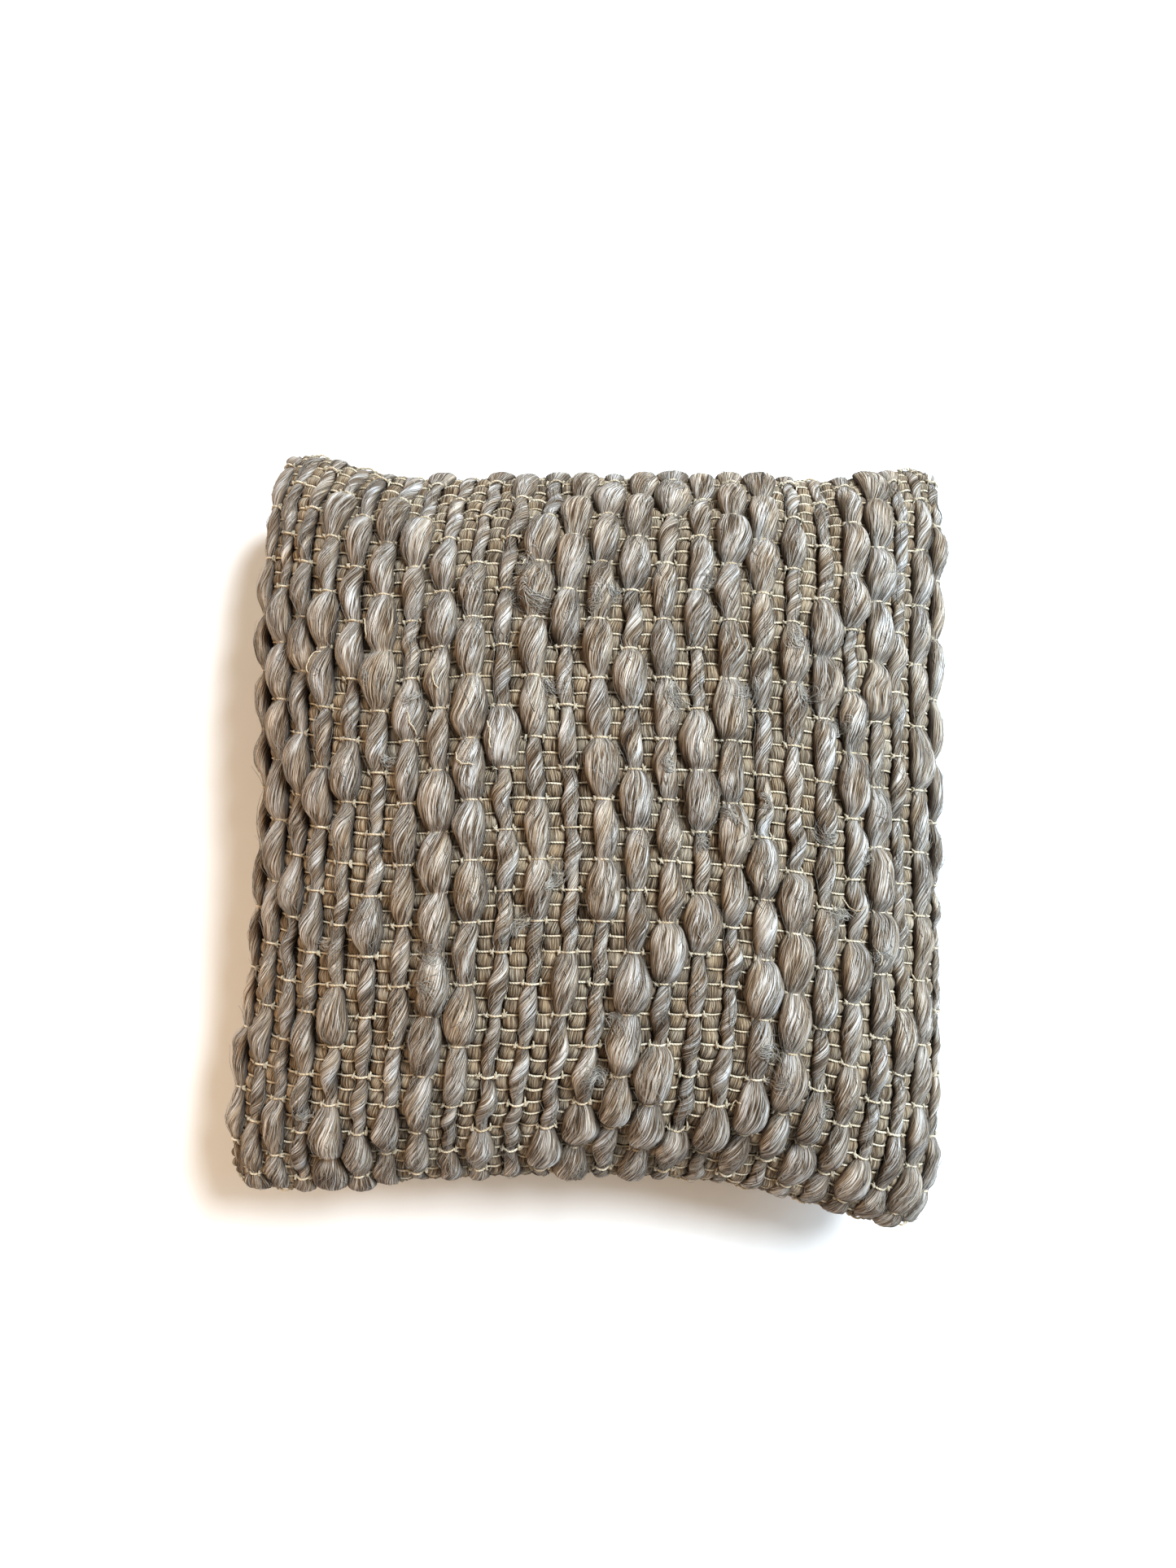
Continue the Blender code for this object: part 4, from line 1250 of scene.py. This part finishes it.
def insert_frame(s, t, side, inset=INSERT_INSET):
    """The insert's surface: the cover's inner face drawn in a little on every side."""
    point, across, along, normal = surface_frame(s, t, side)
    middle = np.array([(WEST_X + EAST_X) / 2, (NORTH_Y + SOUTH_Y) / 2])
    half = np.array([(EAST_X - WEST_X) / 2, (NORTH_Y - SOUTH_Y) / 2])
    point[..., :2] = middle + (point[..., :2] - middle) * (1 - (inset + 0.001) / half)
    depth = np.maximum(side * (point[..., 2] - SEAM_HEIGHT) - mouth_half(s, t), 0)
    point[..., 2] = SEAM_HEIGHT + side * (depth * (1 - inset / CROWN) + 0.0002)
    return point, across, along, normal


def filling_frame(s, t, side):
    return insert_frame(s, t, side, INSERT_INSET + 0.0014)


def insert():
    """The cotton casing's two faces and the fibre inside them."""
    for side in (FRONT, BACK):
        name = f"insert_casing_{SIDE_NAMES[side]}"
        casing = sheet_shell(f"{name}_cloth", side, *CASING_LAYER, 48, CASING, insert_frame)
        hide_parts(name)
    filling = [
        sheet_shell(f"insert_fibre_{SIDE_NAMES[side]}", side, *FIBRE_LAYER, 48, FIBRE, filling_frame)
        for side in (FRONT, BACK)
    ]
    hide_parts("insert_filling")


# --- CAD nodes that keep their shape -------------------------------------------------------------
def dress(node, mat):
    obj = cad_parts[node]
    obj.data.materials.clear()
    obj.data.materials.append(mat)


def dress_cad_nodes():
    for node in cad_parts:
        if node.startswith("zip_tape"):
            dress(node, TAPE)
        elif node.startswith("zip_teeth"):
            dress(node, TEETH)
        elif node.startswith("zip_"):
            dress(node, BRASS)
        elif node == "care_label":
            dress(node, SATIN)
        elif node.startswith("seam_allowance"):
            dress(node, OVERLOCK)


# --- Floor, light and camera ---------------------------------------------------------------------
SKY = (  # height, colour: light at the horizon, darker overhead
    (0.02, (0.93, 0.91, 0.88)),
    (0.14, (0.62, 0.61, 0.59)),
    (0.55, (0.15, 0.14, 0.125)),
)
CAMERA_LENS = 27
CAMERA_ELEVATION = 85.5
CAMERA_DISTANCE = 0.757
CAMERA_AIM = (-0.0030, 0.0280, SEAM_HEIGHT)


def stage():
    bpy.ops.mesh.primitive_plane_add(size=12, location=(0, 0, 0))
    floor = bpy.context.object
    floor.name = "floor"
    floor.data.materials.append(FLOOR)


def area_light(name, place, aim, size, power, colour):
    light = bpy.data.lights.new(name, "AREA")
    light.shape = "RECTANGLE"
    light.size, light.size_y = size
    light.energy = power
    light.color = colour
    obj = bpy.data.objects.new(name, light)
    obj.location = place
    obj.rotation_euler = (Vector(aim) - Vector(place)).to_track_quat("-Z", "Y").to_euler()
    bpy.context.scene.collection.objects.link(obj)


def sun_light(name, towards, angle, strength, colour):
    """Even light from far off, which reaches the whole floor."""
    light = bpy.data.lights.new(name, "SUN")
    light.angle = math.radians(angle)
    light.energy = strength
    light.color = colour
    obj = bpy.data.objects.new(name, light)
    obj.rotation_euler = Vector(towards).to_track_quat("Z", "Y").to_euler()
    bpy.context.scene.collection.objects.link(obj)


def sky_light():
    world = bpy.data.worlds.new("studio")
    world.use_nodes = True
    tree = world.node_tree
    height = tree.nodes.new("ShaderNodeSeparateXYZ")
    tree.links.new(tree.nodes.new("ShaderNodeTexCoord").outputs["Generated"], height.inputs[0])
    sky = tree.nodes.new("ShaderNodeValToRGB")
    while len(sky.color_ramp.elements) < len(SKY):
        sky.color_ramp.elements.new(0.5)
    for element, (position, grey) in zip(sky.color_ramp.elements, SKY):
        element.position = position
        element.color = (*grey, 1)
    tree.links.new(height.outputs["Z"], sky.inputs["Fac"])
    tree.links.new(sky.outputs["Color"], tree.nodes["Background"].inputs["Color"])
    bpy.context.scene.world = world


def lights():
    """Window light from the north-east, with cool and warm fill from the sides."""
    sky_light()
    middle = (0, 0, 0.06)
    area_light("key_window", (1.0, 1.0, 1.6), middle, (0.65, 0.5), 48, (0.80, 0.92, 1.0))
    sun_light("daylight", (1.05, 0.75, 1.6), 16, 2.60, (0.875, 0.945, 1.0))
    area_light("cool_right", (0.95, 0.1, 0.6), middle, (0.5, 0.7), 9, (0.50, 0.76, 1.0))
    area_light("warm_left", (-0.95, -0.25, 0.6), middle, (0.5, 0.7), 6.5, (1.0, 0.66, 0.36))
    sun_light("soft_top", (0.0, 0.6, 1.0), 80, 0.42, (1.0, 0.93, 0.82))
    view = bpy.context.scene.view_settings
    view.view_transform = "Standard"
    view.look = "None"


def camera():
    """Straight above, tipped a little towards the south side."""
    data = bpy.data.cameras.new("camera")
    data.sensor_width = 36
    data.sensor_fit = "AUTO"
    data.lens = CAMERA_LENS
    obj = bpy.data.objects.new("camera", data)
    elevation = math.radians(CAMERA_ELEVATION)
    back_off = Vector((0, -math.cos(elevation), math.sin(elevation)))
    obj.location = Vector(CAMERA_AIM) + back_off * CAMERA_DISTANCE
    obj.rotation_euler = (-back_off).to_track_quat("-Z", "Y").to_euler()
    bpy.context.scene.collection.objects.link(obj)
    bpy.context.scene.camera = obj


# --- Build ---------------------------------------------------------------------------------------
stage()
lights()
camera()
inflate_cover()
dress_cad_nodes()
base_cloths()
zip_end_facings()
insert()
front_yarns = slub_yarns(FRONT, around=44, rings=460)
loose_hairs(FRONT, front_yarns, per_yarn=110)
wool_wisps(FRONT, front_yarns, count=34)
thread_tails(FRONT, front_yarns, count=14)
ground_yarns(FRONT, around=16)
cross_threads(FRONT, around=6, per_column=11)
edge_threads(FRONT, around=5, rings=280)
knots(FRONT)
back_yarns = slub_yarns(BACK, around=30, rings=300)
loose_hairs(BACK, back_yarns, per_yarn=20)
ground_yarns(BACK, around=10)
cross_threads(BACK, around=5, per_column=9)
edge_threads(BACK, around=5, rings=200)
knots(BACK)
